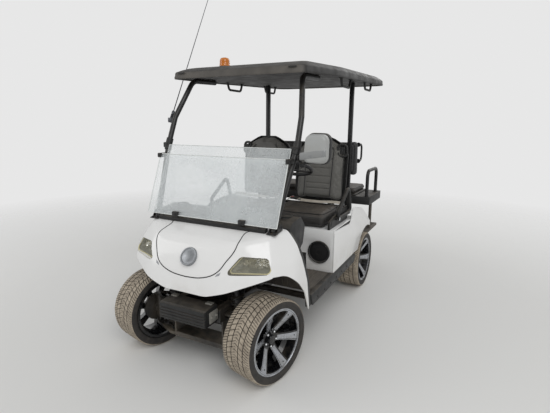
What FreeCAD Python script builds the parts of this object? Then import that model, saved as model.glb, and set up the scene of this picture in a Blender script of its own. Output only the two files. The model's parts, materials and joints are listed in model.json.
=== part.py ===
import FreeCAD, Part
import math
import os

V = FreeCAD.Vector

# Frame: +X is the cart's left side, the cart faces -Y, +Z is up and z = 0 is the ground.
# The origin lies on the ground under the middle of the bounding box.

# Wheels and axles
WHEELBASE = 1664.0
FRONT_AXLE_Y = -1087.0
REAR_AXLE_Y = FRONT_AXLE_Y + WHEELBASE
TYRE_RADIUS = 253.0
TYRE_WIDTH = 215.0
BEAD_RADIUS = 184.0
FRONT_TRACK_HALF = 440.0
REAR_TRACK_HALF = 495.0
KINGPIN_X = FRONT_TRACK_HALF - 52
REST_STEER = -14.5
SPOKE_COUNT = 6
SPOKE_PHASE = 21.0
HUB_RADIUS = 62.0
HUB_FACE = 42.0
RIM_FLANGE_RADIUS = 200.0
SHOULDER = 24.0
RIM_WALL = 6.0
AXLE_STUB_RADIUS = 16.0
RUNNING_GAP = 0.05
TYRE_SIDES = 60
RIM_SIDES = 40
SEAT = 0.3

# Body
BODY_HALF = 600.0
PANEL = 6.0
FLOOR_TOP = 425.0
FLOOR_THICK = 25.0
SILL_BOTTOM = 340.0
ROCKER_WIDTH = 38.0
SEAT_BASE_FRONT = 735.0
SEAT_BASE_TOP = 740.0
REAR_BODY_END = WHEELBASE + 126
REAR_ARCH_RADIUS = 325.0
SEAT_DECK_REAR = 1290.0
SEAT_BACK_LINE = ((1330.0, 850.0), (1375.0, 1335.0))
REAR_BACK_FRONT = WHEELBASE - 16
REAR_POST_X = 415.0
HINGE_RADIUS = 5.0
HINGE_X = (330.0, -360.0)
SPEAKER = (BODY_HALF - 116, 571.0, 76.0)

# Roof and struts
ROOF_HALF = 565.0
ROOF_FRONT_HALF = 500.0
ROOF_FRONT = 350.0
ROOF_REAR = WHEELBASE + 586
ROOF_FRONT_Z = 1788.0
ROOF_REAR_Z = 1866.0
ROOF_FLANGE = 52.0
ROOF_STEP = WHEELBASE + 306
ROOF_TOP_LIFT = 97.0
ROOF_WALL = 10.0
ROOF_RIB_LIFT = 12.0
ROOF_RIB_X = (400.0, 525.0)
STRUT_RADIUS = 18.0
TUBE_SIDES = 10
KNEE = (492.0, 275.0, 1340.0)
PANE = 5.0

# Frame rails
RAIL_X = 160.0
RAIL_WIDTH = 50.0
RAIL_TOP = FLOOR_TOP - FLOOR_THICK - SEAT
RAIL_Z = (RAIL_TOP - 80.0, RAIL_TOP)

PARTS = {}


def aft(distance):
    """Y of a place this far behind the front axle."""
    return FRONT_AXLE_Y + distance


def rear(distance):
    """Y of a place this far behind the rear axle."""
    return REAR_AXLE_Y + distance


def to_vectors(points, plane, offset):
    order = {
        "yz": lambda u, v: V(offset, u, v),
        "xz": lambda u, v: V(u, offset, v),
        "xy": lambda u, v: V(u, v, offset),
    }
    return [order[plane](p[0], p[1]) for p in points]


def rounded_wire(corners, radii, closed=True):
    """A wire of lines through the corners, each corner turned by an arc of its own radius."""
    count = len(corners)
    starts, ends = [], []
    edges_at = []
    for i in range(count):
        here, radius = corners[i], radii[i]
        before, after = corners[i - 1], corners[(i + 1) % count]
        if radius <= 0 or (not closed and i in (0, count - 1)):
            starts.append(here)
            ends.append(here)
            edges_at.append(None)
            continue
        back = (before - here)
        back.normalize()
        ahead = (after - here)
        ahead.normalize()
        half = back.getAngle(ahead) / 2
        reach = radius / math.tan(half)
        first, last = here + back * reach, here + ahead * reach
        bisector = back + ahead
        bisector.normalize()
        middle = here + bisector * (radius / math.sin(half) - radius)
        starts.append(first)
        ends.append(last)
        edges_at.append(Part.Arc(first, middle, last).toShape())
    edges = []
    for i in range(count):
        if edges_at[i] is not None:
            edges.append(edges_at[i])
        if i == count - 1 and not closed:
            break
        target = starts[(i + 1) % count]
        if (target - ends[i]).Length > 1e-6:
            edges.append(Part.LineSegment(ends[i], target).toShape())
    return Part.Wire(edges)


def outline(points, plane, offset=0.0):
    """A closed wire in a plane from (u, v) or (u, v, corner radius) points."""
    corners = to_vectors(points, plane, offset)
    radii = [p[2] if len(p) > 2 else 0.0 for p in points]
    return rounded_wire(corners, radii)


def chorded(points, parts=2):
    """The outline's points with every corner radius turned into short straight runs."""
    result = []
    for i, point in enumerate(points):
        here = V(point[0], point[1], 0)
        radius = point[2] if len(point) > 2 else 0.0
        if radius <= 0:
            result.append((here.x, here.y))
            continue
        after = points[(i + 1) % len(points)]
        back = V(points[i - 1][0], points[i - 1][1], 0) - here
        ahead = V(after[0], after[1], 0) - here
        back.normalize()
        ahead.normalize()
        half = back.getAngle(ahead) / 2
        bisector = back + ahead
        bisector.normalize()
        centre = here + bisector * (radius / math.sin(half))
        first = here + back * (radius / math.tan(half)) - centre
        turn = math.copysign(math.pi - 2 * half, ahead.cross(back).z)
        for k in range(parts + 1):
            angle = turn * k / parts
            spoke = V(first.x * math.cos(angle) - first.y * math.sin(angle),
                      first.x * math.sin(angle) + first.y * math.cos(angle), 0)
            result.append((centre.x + spoke.x, centre.y + spoke.y))
    return result


def prism(points, plane, low, high):
    """A flat outline pushed from low to high along the plane's normal."""
    along = {"yz": V(1, 0, 0), "xz": V(0, 1, 0), "xy": V(0, 0, 1)}[plane]
    return Part.Face(outline(points, plane, low)).extrude(along * (high - low))


def box(x, y, z):
    return Part.makeBox(x[1] - x[0], y[1] - y[0], z[1] - z[0], V(x[0], y[0], z[0]))


def rod(start, end, radius):
    start, end = V(*start), V(*end)
    return Part.makeCylinder(radius, (end - start).Length, start, end - start)


def skin(rings, closed=False):
    """A solid of flat faces through rings of equally many points."""
    faces = []
    sides = len(rings[0])
    for i in range(len(rings) if closed else len(rings) - 1):
        here, following = rings[i], rings[(i + 1) % len(rings)]
        for k in range(sides):
            j = (k + 1) % sides
            corners = [here[k], here[j], following[j], following[k]]
            faces.append(Part.Face(Part.makePolygon(corners + corners[:1])))
    if not closed:
        for ring in (rings[0], rings[-1]):
            faces.append(Part.Face(Part.makePolygon(ring + ring[:1])))
    solid = Part.makeSolid(Part.makeShell(faces))
    if solid.Volume < 0:
        solid.reverse()
    return solid


def ring_round(centre, way, radius, sides):
    across = way.cross(V(0, 0, 1)) if abs(way.z) < 0.9 else way.cross(V(1, 0, 0))
    across.normalize()
    up = across.cross(way)
    up.normalize()
    angles = [2 * math.pi * k / sides for k in range(sides)]
    return [centre + across * (radius * math.cos(a)) + up * (radius * math.sin(a)) for a in angles]


def drum(start, end, radius, end_radius=None, sides=16):
    """A many-sided post or frustum between two points."""
    start, end = V(*start), V(*end)
    way = end - start
    way.normalize()
    last = radius if end_radius is None else end_radius
    return skin([ring_round(start, way, radius, sides), ring_round(end, way, last, sides)])


def bend_stations(corners, bend, closed):
    """The corners of a bar's centre line, each bend replaced by its start, middle and end."""
    stations = []
    for i, here in enumerate(corners):
        if bend <= 0 or (not closed and i in (0, len(corners) - 1)):
            stations.append(here)
            continue
        back, ahead = corners[i - 1] - here, corners[(i + 1) % len(corners)] - here
        back.normalize()
        ahead.normalize()
        half = back.getAngle(ahead) / 2
        reach = bend / math.tan(half)
        bisector = back + ahead
        bisector.normalize()
        middle = here + bisector * (bend / math.sin(half) - bend)
        stations += [here + back * reach, middle, here + ahead * reach]
    return stations


def tube(points, radius, bend, closed=False, sides=TUBE_SIDES):
    """A many-sided bar along straight runs with mitred corners; closed makes a hoop."""
    stations = bend_stations([V(*p) for p in points], bend, closed)
    count = len(stations)
    runs = [stations[(i + 1) % count] - stations[i] for i in range(count if closed else count - 1)]
    for run in runs:
        run.normalize()
    rings = []
    for i, station in enumerate(stations):
        arriving = runs[i - 1] if (closed or i > 0) else runs[0]
        leaving = runs[i] if i < len(runs) else runs[-1]
        mitre = arriving + leaving
        mitre.normalize()
        way = runs[i - 1] if i > 0 else runs[0]
        previous = rings[-1] if i > 0 else ring_round(station, runs[0], radius, sides)
        rings.append([p + way * ((station - p).dot(mitre) / way.dot(mitre)) for p in previous])
    return skin(rings, closed)


def mirrored(shape):
    return shape.mirror(V(0, 0, 0), V(1, 0, 0))


def both_sides(shape):
    return [shape, mirrored(shape)]


def joined(first, *others):
    shape = first.fuse(list(others)) if others else first
    return shape.removeSplitter()


def cut(shape, *tools):
    return shape.cut(list(tools))


def largest(shape):
    return max(shape.Solids, key=lambda solid: solid.Volume)


def keep(name, *shapes):
    """Store a node: one solid, or several that don't touch."""
    solids = [s for shape in shapes for s in shape.Solids]
    PARTS[name] = solids[0] if len(solids) == 1 else Part.makeCompound(solids)


def steered(shape, side):
    """Turn a front wheel piece about its kingpin to the photographed lock."""
    turned = shape.copy()
    turned.rotate(V(side * KINGPIN_X, FRONT_AXLE_Y, 0), V(0, 0, 1), REST_STEER)
    return turned


# Wheels

def turned(profile, sides):
    """A many-sided ring about the X axis from (x, radius) points."""
    rings = []
    for k in range(sides):
        angle = 2 * math.pi * k / sides
        rings.append([V(x, radius * math.cos(angle), radius * math.sin(angle)) for x, radius in profile])
    return skin(rings, closed=True)


def sidewall_slope():
    """How far the sidewall leans outwards for each millimetre of radius."""
    foot = TYRE_WIDTH / 2 - 12 - SEAT
    return (TYRE_WIDTH / 2 - foot) / (TYRE_RADIUS - SHOULDER - BEAD_RADIUS)


def tyre_blank():
    """A tyre about the X axis, centred on its own middle plane."""
    half = TYRE_WIDTH / 2
    right = [(half - SHOULDER, TYRE_RADIUS), (half, TYRE_RADIUS - SHOULDER), (half - 12 - SEAT, BEAD_RADIUS)]
    left = [(-x, radius) for x, radius in reversed(right)]
    return turned(left + right, TYRE_SIDES)


def rim_blank():
    """A six-spoke wheel about the X axis, its outer face towards +X."""
    half = TYRE_WIDTH / 2 - 12
    seat = BEAD_RADIUS - SEAT
    lip = half + (RIM_FLANGE_RADIUS - seat) * sidewall_slope()
    bore = seat - RIM_WALL
    barrel = [(-half, seat), (half, seat), (lip, RIM_FLANGE_RADIUS), (lip + 3, bore), (-lip - 3, bore),
              (-lip, RIM_FLANGE_RADIUS)]
    shell = turned(barrel, RIM_SIDES)
    hub = drum((HUB_FACE - 34, 0, 0), (HUB_FACE, 0, 0), HUB_RADIUS, sides=24)
    spokes = []
    for i in range(SPOKE_COUNT):
        root = [(-16, HUB_FACE - 26), (16, HUB_FACE - 26), (16, HUB_FACE - 4), (-16, HUB_FACE - 4)]
        tip = [(-30, half - 24), (30, half - 24), (30, lip - 3), (-30, lip - 3)]
        spoke = skin([to_vectors(root, "xy", HUB_RADIUS - 12), to_vectors(tip, "xy", seat - 3)])
        spoke.rotate(V(0, 0, 0), V(0, 0, 1), -90)
        spoke.rotate(V(0, 0, 0), V(1, 0, 0), SPOKE_PHASE + i * 360.0 / SPOKE_COUNT)
        spokes.append(spoke)
    cap = drum((HUB_FACE, 0, 0), (HUB_FACE + 16, 0, 0), 34, 28)
    bearing = rod((HUB_FACE - 60, 0, 0), (HUB_FACE - 6, 0, 0), AXLE_STUB_RADIUS + RUNNING_GAP)
    return cut(joined(shell, hub, cap, *spokes), bearing)


def wheel_at(shape, side, x, y):
    placed = shape.copy() if side > 0 else mirrored(shape)
    placed.translate(V(side * x, y, TYRE_RADIUS))
    return placed


def build_wheels():
    tyre, rim = tyre_blank(), rim_blank()
    for label, side in (("left", 1), ("right", -1)):
        keep("tyre_front_" + label, steered(wheel_at(tyre, side, FRONT_TRACK_HALF, FRONT_AXLE_Y), side))
        keep("rim_front_" + label, steered(wheel_at(rim, side, FRONT_TRACK_HALF, FRONT_AXLE_Y), side))
        keep("tyre_rear_" + label, wheel_at(tyre, side, REAR_TRACK_HALF, REAR_AXLE_Y))
        keep("rim_rear_" + label, wheel_at(rim, side, REAR_TRACK_HALF, REAR_AXLE_Y))


# Steering

STEER_ARM_BACK = 90.0
TIE_ROD_Z = 205.0
ARM_LOWER_Z = 150.0
ARM_THICK = 20.0
ARM_UPPER_Z = 352.0
KNUCKLE_Z = (ARM_LOWER_Z + ARM_THICK / 2 + SEAT, ARM_UPPER_Z - SEAT)


def knuckle_blank():
    """The left knuckle with the wheels straight: upright, stub axle, brake plate and steering arm."""
    upright = rod((KINGPIN_X, FRONT_AXLE_Y, KNUCKLE_Z[0]), (KINGPIN_X, FRONT_AXLE_Y, KNUCKLE_Z[1]), 22)
    end = FRONT_TRACK_HALF + HUB_FACE - 8
    stub = rod((KINGPIN_X, FRONT_AXLE_Y, TYRE_RADIUS), (end, FRONT_AXLE_Y, TYRE_RADIUS), AXLE_STUB_RADIUS)
    inner = FRONT_TRACK_HALF + HUB_FACE - 34
    boss = drum((KINGPIN_X, FRONT_AXLE_Y, TYRE_RADIUS), (inner - 2, FRONT_AXLE_Y, TYRE_RADIUS), 34)
    brake = drum((inner - 32, FRONT_AXLE_Y, TYRE_RADIUS), (inner - 12, FRONT_AXLE_Y, TYRE_RADIUS), 95, sides=24)
    arm = prism([(KINGPIN_X - 14, FRONT_AXLE_Y), (KINGPIN_X + 14, FRONT_AXLE_Y),
                 (KINGPIN_X + 14, FRONT_AXLE_Y + STEER_ARM_BACK + 14, 10),
                 (KINGPIN_X - 14, FRONT_AXLE_Y + STEER_ARM_BACK + 14, 10)],
                "xy", TIE_ROD_Z + 8, TIE_ROD_Z + 22)
    return joined(upright, stub, boss, brake, arm)


def tie_rod_blank():
    """The tie rod between both arm ends, hung under the arms."""
    x, y = KINGPIN_X, FRONT_AXLE_Y + STEER_ARM_BACK
    ends = []
    for side in (1, -1):
        turned = steered(Part.Vertex(side * x, y, 0), side).Point
        ends.append(turned)
    left, right = ends
    bar = drum((left.x, left.y, TIE_ROD_Z - 8), (right.x, right.y, TIE_ROD_Z - 8), 9, sides=8)
    eyes = [rod((p.x, p.y, TIE_ROD_Z - 20), (p.x, p.y, TIE_ROD_Z + 8 - SEAT), 13) for p in ends]
    return joined(bar, *eyes)


def build_steering_gear():
    knuckle = knuckle_blank()
    keep("knuckle_left", steered(knuckle, 1))
    keep("knuckle_right", steered(mirrored(knuckle), -1))
    keep("tie_rod", tie_rod_blank())


FIREWALL = ((316.0, 560.0), (302.0, 700.0))
FIREWALL_THICK = 6.0
TOE = (352.0, 455.0)
CUP_X = 410.0
CUP_Y = 302.0
CUP_Z = (845.0, 925.0)
CUP_RADIUS = 38.0


def behind_firewall(shape):
    """Trim a piece so that it ends just behind the firewall's rear face."""
    (low_y, low_z), (high_y, high_z) = FIREWALL
    back = FIREWALL_THICK + SEAT
    per_z = (high_y - low_y) / (high_z - low_z)
    toe = (aft(TOE[0]) + SEAT, TOE[1] + SEAT)
    tool = prism([toe, (aft(low_y) + back, low_z), (aft(high_y + 300 * per_z) + back, high_z + 300),
                  (aft(0), high_z + 300), (aft(0), 200), (toe[0], 200)], "yz", -BODY_HALF, BODY_HALF)
    return cut(shape, tool)


COLUMN_TOP = (280.0, 600.0, 1195.0)
COLUMN_FOOT = (280.0, 330.0, 560.0)
WHEEL_RING_RADIUS = 170.0
WHEEL_RING_TUBE = 13.0
WHEEL_RING_RUNS = 24


def column_axis():
    axis = V(*COLUMN_TOP) - V(*COLUMN_FOOT)
    axis.normalize()
    return axis


def build_steering_wheel():
    top = V(COLUMN_TOP[0], aft(COLUMN_TOP[1]), COLUMN_TOP[2])
    axis = column_axis()
    angles = [2 * math.pi * k / WHEEL_RING_RUNS for k in range(WHEEL_RING_RUNS)]
    circle = [(WHEEL_RING_RADIUS * math.cos(a), WHEEL_RING_RADIUS * math.sin(a), 0) for a in angles]
    ring = tube(circle, WHEEL_RING_TUBE, 0, closed=True, sides=8)
    hub = drum((0, 0, -30), (0, 0, 4), 48)
    spokes = []
    for angle in (90, 210, 330):
        spoke = box((0, WHEEL_RING_RADIUS - 4), (-17, 17), (-12, -2))
        spoke.rotate(V(0, 0, 0), V(0, 0, 1), angle)
        spokes.append(spoke)
    wheel = joined(hub, ring, *spokes)
    wheel.Placement = FreeCAD.Placement(top, FreeCAD.Rotation(V(0, 0, 1), axis))
    keep("steering_wheel", wheel)
    foot = V(COLUMN_FOOT[0], aft(COLUMN_FOOT[1]), COLUMN_FOOT[2])
    shaft_top = top - axis * (30 + SEAT)
    foot = foot - axis * 60
    shaft = behind_firewall(Part.makeCylinder(24, (shaft_top - foot).Length, foot, axis))
    pod = drum(shaft_top - axis * 150, shaft_top, 42, 36)
    lever = drum(shaft_top - axis * 60, shaft_top - axis * 40 + V(-150, -20, 10), 6, sides=8)
    keep("steering_column", joined(shaft, pod, lever))


# Front suspension and frame

CRADLE_HALF = 188.0
BRIDGE_Z = (575.0, 600.0)
RAIL_FRONT = -110.0
RAIL_REAR = WHEELBASE + 436
STRUT_FOOT = (437.0, 72.0, 850.0)
SPRING_X = 290.0
SPRING_EYE_Z = 350.0
HANGER_Y = (-354.0, 326.0)
AXLE_TUBE_RADIUS = 34.0
ARM_X = 345.0
ARM_DEPTH = 32.0
DECK_Z = (750.0, 825.0)
DECK_Y = (WHEELBASE + 96, WHEELBASE + 553)
HOOD_LINE = ((60.0, 864.0), (240.0, 890.0))


def hood_z(distance):
    """Height of the hood's top between the windshield base and its rear edge."""
    (y0, z0), (y1, z1) = HOOD_LINE
    return z0 + (distance - y0) * (z1 - z0) / (y1 - y0)


def hood_above(lift):
    """Everything over the hood's top plane raised by the lift."""
    low, high, ceiling = -100, 1400, 2200
    profile = [(aft(low), hood_z(low) + lift), (aft(high), hood_z(high) + lift), (aft(high), ceiling),
               (aft(low), ceiling)]
    return prism(profile, "yz", -800, 800)


def build_front_suspension():
    arms, dampers = [], []
    y = FRONT_AXLE_Y
    # inner x, half spread at the frame, half spread at the knuckle, low z, thickness
    forks = [(CRADLE_HALF + SEAT, 88.0, 16.0, ARM_LOWER_Z - ARM_THICK / 2, ARM_THICK),
             (RAIL_X + RAIL_WIDTH / 2 + SEAT, 70.0, 14.0, ARM_UPPER_Z, 14.0)]
    for inner, wide, narrow, low, thick in forks:
        outer = KINGPIN_X + 18
        fork = prism([(inner, y - wide), (inner, y + wide), (inner + 40, y + wide), (outer, y + narrow),
                      (outer, y - narrow), (inner + 40, y - wide)], "xy", low, low + thick)
        window = prism([(inner + 30, y - wide + 26), (inner + 30, y + wide - 26), (outer - 70, y + narrow - 6),
                        (outer - 70, y - narrow + 6)], "xy", low - 5, low + thick + 5)
        arms.append(cut(fork, window))
    foot, head = V(282.0, y, ARM_LOWER_Z + ARM_THICK / 2 + SEAT + 8), V(222.0, y, BRIDGE_Z[0] - 30)
    low, high = foot + (head - foot) * 0.04, foot + (head - foot) * 0.74
    spring = drum(low, high, 30, sides=12)
    stud = drum((head.x, y, head.z - 6), (head.x, y, BRIDGE_Z[0] - SEAT), 10, sides=8)
    pad = box((foot.x - 20, foot.x + 20), (y - 14, y + 14), (ARM_LOWER_Z + ARM_THICK / 2 + SEAT, foot.z + 6))
    damper = joined(drum(foot, head, 15, sides=12), spring, stud, pad)
    arms[1] = cut(arms[1], box((foot.x - 75, foot.x + 42), (y - 39, y + 39), (ARM_UPPER_Z - 20, ARM_UPPER_Z + 40)))
    seat = box((foot.x - 24, foot.x + 24), (y - 30, y + 30), (ARM_LOWER_Z - ARM_THICK / 2, ARM_LOWER_Z + ARM_THICK / 2))
    arms[0] = joined(arms[0], seat)
    keep("front_arms", *[s for arm in arms for s in both_sides(arm)])
    keep("front_dampers", *both_sides(damper))


def build_frame():
    """The welded ladder, the front cradle under it and the bridge with the strut posts over it."""
    ladder, cradle, bridge = [], [], []
    reach = BODY_HALF - ROCKER_WIDTH - SEAT
    for side in (1, -1):
        x = (side * RAIL_X - RAIL_WIDTH / 2, side * RAIL_X + RAIL_WIDTH / 2)
        ladder.append(box(x, (aft(RAIL_FRONT), aft(RAIL_REAR)), RAIL_Z))
        for y in HANGER_Y:
            hanger_x = sorted((side * RAIL_X, side * (SPRING_X + 25)))
            ladder.append(box(hanger_x, (rear(y), rear(y) + 20 - SEAT), (SPRING_EYE_Z - 20, RAIL_TOP)))
        plate_x = sorted((side * (CRADLE_HALF - 12), side * CRADLE_HALF))
        cradle.append(box(plate_x, (aft(-88), aft(45)), (ARM_LOWER_Z - 14, RAIL_Z[0])))
        bridge.append(box(x, (aft(45), aft(85)), (RAIL_Z[1], BRIDGE_Z[0])))
        post = box((side * 400 - 20, side * 400 + 20), (aft(80), aft(120)), (BRIDGE_Z[0], hood_z(120)))
        bridge.append(cut(post, hood_above(-PANEL - SEAT)))
    for y in (RAIL_FRONT, 270, 700, 1240, WHEELBASE + 236):
        ladder.append(box((-RAIL_X, RAIL_X), (aft(y), aft(y) + 40), (RAIL_Z[0], RAIL_Z[1] - 10)))
    for y in (340, 700, 1180):
        ladder.append(box((-reach, reach), (aft(y), aft(y) + 40), (RAIL_TOP - 30, RAIL_TOP)))
    cradle.append(box((-CRADLE_HALF, CRADLE_HALF), (aft(-88), aft(45)), (ARM_LOWER_Z - 14, ARM_LOWER_Z + 16)))
    bridge.append(box((-420, 420), (aft(-25), aft(120)), BRIDGE_Z))
    keep("frame", joined(*ladder))
    keep("front_cradle", joined(*cradle))
    keep("front_bridge", joined(*bridge))


def build_rear_axle():
    y, z = REAR_AXLE_Y, TYRE_RADIUS
    reach = REAR_TRACK_HALF + HUB_FACE - 8
    inner = REAR_TRACK_HALF + HUB_FACE - 34
    housing = drum((-inner + 2, y, z), (inner - 2, y, z), AXLE_TUBE_RADIUS)
    shaft = rod((-reach, y, z), (reach, y, z), AXLE_STUB_RADIUS)
    drums = [drum((s * (inner - 60), y, z), (s * (inner - 12), y, z), 100, sides=24) for s in (1, -1)]
    gear_case = drum((-20, y, z), (80, y, z), 92, sides=20)
    motor = drum((-130, y - 40, z - 10), (-20, y - 40, z - 10), 80, sides=20)
    keep("rear_axle", joined(housing, shaft, gear_case, motor, *drums))


def build_rear_suspension():
    springs, dampers = [], []
    y = REAR_AXLE_Y
    seat_z = TYRE_RADIUS + AXLE_TUBE_RADIUS + SEAT
    for side in (1, -1):
        x = side * SPRING_X
        front, back = rear(HANGER_Y[0]) + 20, rear(HANGER_Y[1]) - SEAT
        leaf = prism([(front, SPRING_EYE_Z), (y - 164, seat_z + 30), (y, seat_z + 12), (y + 166, seat_z + 30),
                      (back, SPRING_EYE_Z), (back, SPRING_EYE_Z + 14), (y + 166, seat_z + 44),
                      (y, seat_z + 28), (y - 164, seat_z + 44), (front, SPRING_EYE_Z + 14)], "yz", x - 25, x + 25)
        pad = box((x - 30, x + 30), (y - 50, y + 50), (seat_z, seat_z + 20))
        springs.append(joined(leaf, pad))
        top = DECK_Z[0] - ARM_DEPTH - 2 * SEAT
        dampers.append(drum((side * ARM_X, y, seat_z), (side * ARM_X, y, top), 18, sides=12))
    keep("leaf_springs", *springs)
    keep("rear_dampers", *dampers)


# Floor and body

def build_floor():
    half = BODY_HALF - ROCKER_WIDTH - SEAT
    under = FLOOR_TOP - FLOOR_THICK
    back = SEAT_BASE_FRONT - SEAT
    (wall_y, wall_z), _ = FIREWALL
    pan = prism([(aft(wall_y), wall_z - SEAT), (aft(wall_y) + FIREWALL_THICK, wall_z - SEAT),
                 (aft(350), FLOOR_TOP + 30, 60), (aft(430), FLOOR_TOP, 60), (aft(back), FLOOR_TOP), (aft(back), under),
                 (aft(400), under, 60), (aft(332), FLOOR_TOP + 10, 40)], "yz", -half, half)
    keep("floor", pan)
    rockers = []
    for side in (1, -1):
        x = sorted((side * (BODY_HALF - ROCKER_WIDTH), side * BODY_HALF))
        rockers.append(prism([(aft(300), FLOOR_TOP, 6), (aft(1180), FLOOR_TOP, 6), (aft(1330), SILL_BOTTOM + 60, 10),
                              (aft(1290), SILL_BOTTOM, 10), (aft(330), SILL_BOTTOM, 20)], "yz", x[0], x[1]))
    keep("rocker_panels", *rockers)


def cowl_plan(front, side, inset, z):
    """Symmetric plan outline of the nose: a bowed front, angled lamp faces and flat sides."""
    side = side - inset
    y = aft(front) + inset
    # x, y, corner radius
    right = [(285 - inset, y, 320), (side - 95, y + 95, 150), (side, y + 250, 150), (side, aft(420), 0)]
    left = [(-p[0], p[1], p[2]) for p in reversed(right)]
    return outline(chorded(left + right), "xy", z)


def cowl_solid(inset):
    # z, front y at the middle, half width
    levels = [(330, -232, BODY_HALF), (560, -206, BODY_HALF), (715, -152, BODY_HALF - 14), (860, -62, BODY_HALF - 70),
              (980, 30, BODY_HALF - 130)]
    body = Part.makeLoft([cowl_plan(front, side, inset, z) for z, front, side in levels], True, True)
    top = [(aft(-300), 100), (aft(-300), 600 - inset), (aft(-180), 690 - inset, 60), (aft(-95), 812 - inset, 150),
           (aft(60), hood_z(60) - inset, 300), (aft(420), hood_z(420) - inset), (aft(420), 100)]
    return body.common(prism(chorded(top), "yz", -900, 900))


def build_cowl():
    shell = cut(cowl_solid(0.0), cowl_solid(PANEL))
    behind = [(aft(150), 1100), (aft(150), 900), (aft(158), 730, 150), (aft(226), 546, 200), (aft(274), 330),
              (aft(274), 200), (aft(500), 200), (aft(500), 1100)]
    below = [(-800, 100), (-800, 652), (-520, 652), (-284, 564, 200), (-150, 522, 200), (150, 522, 200),
             (284, 564, 200), (520, 652), (800, 652), (800, 100)]
    arches = [(aft(-62), 100), (aft(-62), 656, 30), (aft(10), 650, 80), (aft(110), 570, 120), (aft(190), 490, 120),
              (aft(262), 340), (aft(262), 100)]
    shell = cut(shell, prism(chorded(behind), "yz", -900, 900), prism(chorded(below), "xz", aft(-400), aft(-62)),
                prism(chorded(arches), "yz", -900, 900), *both_sides(lamp_window(SEAT)))
    keep("cowl", shell)


def knuckle_barrel(x, y, z, length):
    """A hinge barrel along X that stands on a flat face at height z."""
    middle = z + SEAT + HINGE_RADIUS
    barrel = rod((x - length / 2, y, middle), (x + length / 2, y, middle), HINGE_RADIUS)
    foot = box((x - length / 2, x + length / 2), (y - 3, y + 3), (z - 1, middle))
    return joined(barrel, foot)


def build_rear_body():
    front = aft(SEAT_BASE_FRONT)
    low = FLOOR_TOP + SEAT
    side_profile = [(front, low), (front, SEAT_BASE_TOP, 20), (aft(1150), 712, 60), (aft(1185), 822, 30),
                    (aft(1240), 826, 60), (rear(-191), 780, 150), (rear(-24), 690, 120),
                    (aft(REAR_BODY_END), 600, 20), (aft(REAR_BODY_END), low)]
    arch = rod((-900, REAR_AXLE_Y, TYRE_RADIUS), (900, REAR_AXLE_Y, TYRE_RADIUS), REAR_ARCH_RADIUS)
    for label, x in (("left", (BODY_HALF - 12, BODY_HALF)), ("right", (-BODY_HALF, -BODY_HALF + 12))):
        keep("side_panel_" + label, cut(prism(side_profile, "yz", x[0], x[1]), arch))
    half = BODY_HALF - 12 - SEAT
    kick = box((-half, half), (front, front + PANEL), (low, SEAT_BASE_TOP))
    deck = box((-half, half), (front, aft(SEAT_DECK_REAR)), (SEAT_BASE_TOP - PANEL, SEAT_BASE_TOP))
    hatch = box((-430, 430), (front + 60, aft(1180)), (SEAT_BASE_TOP - 40, SEAT_BASE_TOP + 1))
    back = box((-half, half), (aft(SEAT_DECK_REAR) - PANEL, aft(SEAT_DECK_REAR)), (low, SEAT_BASE_TOP))
    x, z, radius = SPEAKER
    cones = [drum((s * x, front - 20, z), (s * x, front + 40, z), radius, sides=24) for s in (1, -1)]
    hinges = [knuckle_barrel(x, front + 10, SEAT_BASE_TOP, 30) for x in HINGE_X]
    keep("seat_base", joined(cut(joined(kick, deck, back), hatch, *cones), *hinges))
    rings = []
    for s in (1, -1):
        ring = drum((s * x, front - 6, z), (s * x, front - SEAT, z), radius + 8, sides=24)
        cone = drum((s * x, front - 1, z), (s * x, front + 30, z), radius - SEAT, sides=24)
        rings.append(joined(ring, cone))
    keep("speakers", *rings)


def build_battery():
    low = RAIL_TOP + SEAT
    keep("battery_pack", box((-380, 380), (aft(800), aft(1200)), (low, low + 270)))


# Seats


def build_front_seat():
    low = SEAT_BASE_TOP + SEAT
    y = aft(SEAT_BASE_FRONT) + 10
    middle = SEAT_BASE_TOP + SEAT + HINGE_RADIUS
    cushion = prism([(aft(740), low, 12), (aft(738), 850, 45), (aft(1190), 832, 25), (aft(1190), low, 8)], "yz",
                    -520, 520)
    notches, barrels = [], []
    for x in HINGE_X:
        notches.append(box((x - 25, x + 50), (y - 20, y + 16), (low - 5, middle + HINGE_RADIUS + 6)))
        barrels.append(rod((x + 16, y, middle), (x + 44, y, middle), HINGE_RADIUS))
        barrels.append(box((x + 16, x + 44), (y, y + 17), (middle - 2, middle + 2)))
    keep("front_cushion", joined(cut(cushion, *notches), *barrels))
    (low_y, low_z), (high_y, high_z) = SEAT_BACK_LINE
    back = prism([(aft(low_y - 125), low_z, 20), (aft(high_y - 85), high_z, 25), (aft(high_y), high_z, 25),
                  (aft(low_y), low_z, 10)], "yz", -510, 510)
    keep("front_seat_back", back)


def build_seat_sides():
    """Skirts beside the front cushion's ends and the triangular arm loops on them."""
    low = SEAT_BASE_TOP + SEAT
    inner, outer, ring = BODY_HALF - 60, BODY_HALF - 45, BODY_HALF - 28
    skirt = prism([(aft(742), low), (aft(742), 800, 30), (aft(1000), 845, 40), (aft(1170), 850, 10),
                   (aft(1170), low)], "yz", inner, outer)
    loop = tube([(ring, aft(800), 800), (ring, aft(1120), 1010), (ring, aft(1190), 800)], 15, 30, closed=True)
    brackets = [box((outer - 1, ring), (aft(y), aft(y) + 30), (790, 812)) for y in (860, 1130)]
    keep("seat_sides", *both_sides(joined(skirt, loop, *brackets)))


def seat_back_rear(z):
    """Y just behind the front seat back's rear face at a height."""
    (low_y, low_z), (high_y, high_z) = SEAT_BACK_LINE
    return aft(low_y + (z - low_z) * (high_y - low_y) / (high_z - low_z)) + SEAT


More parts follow.
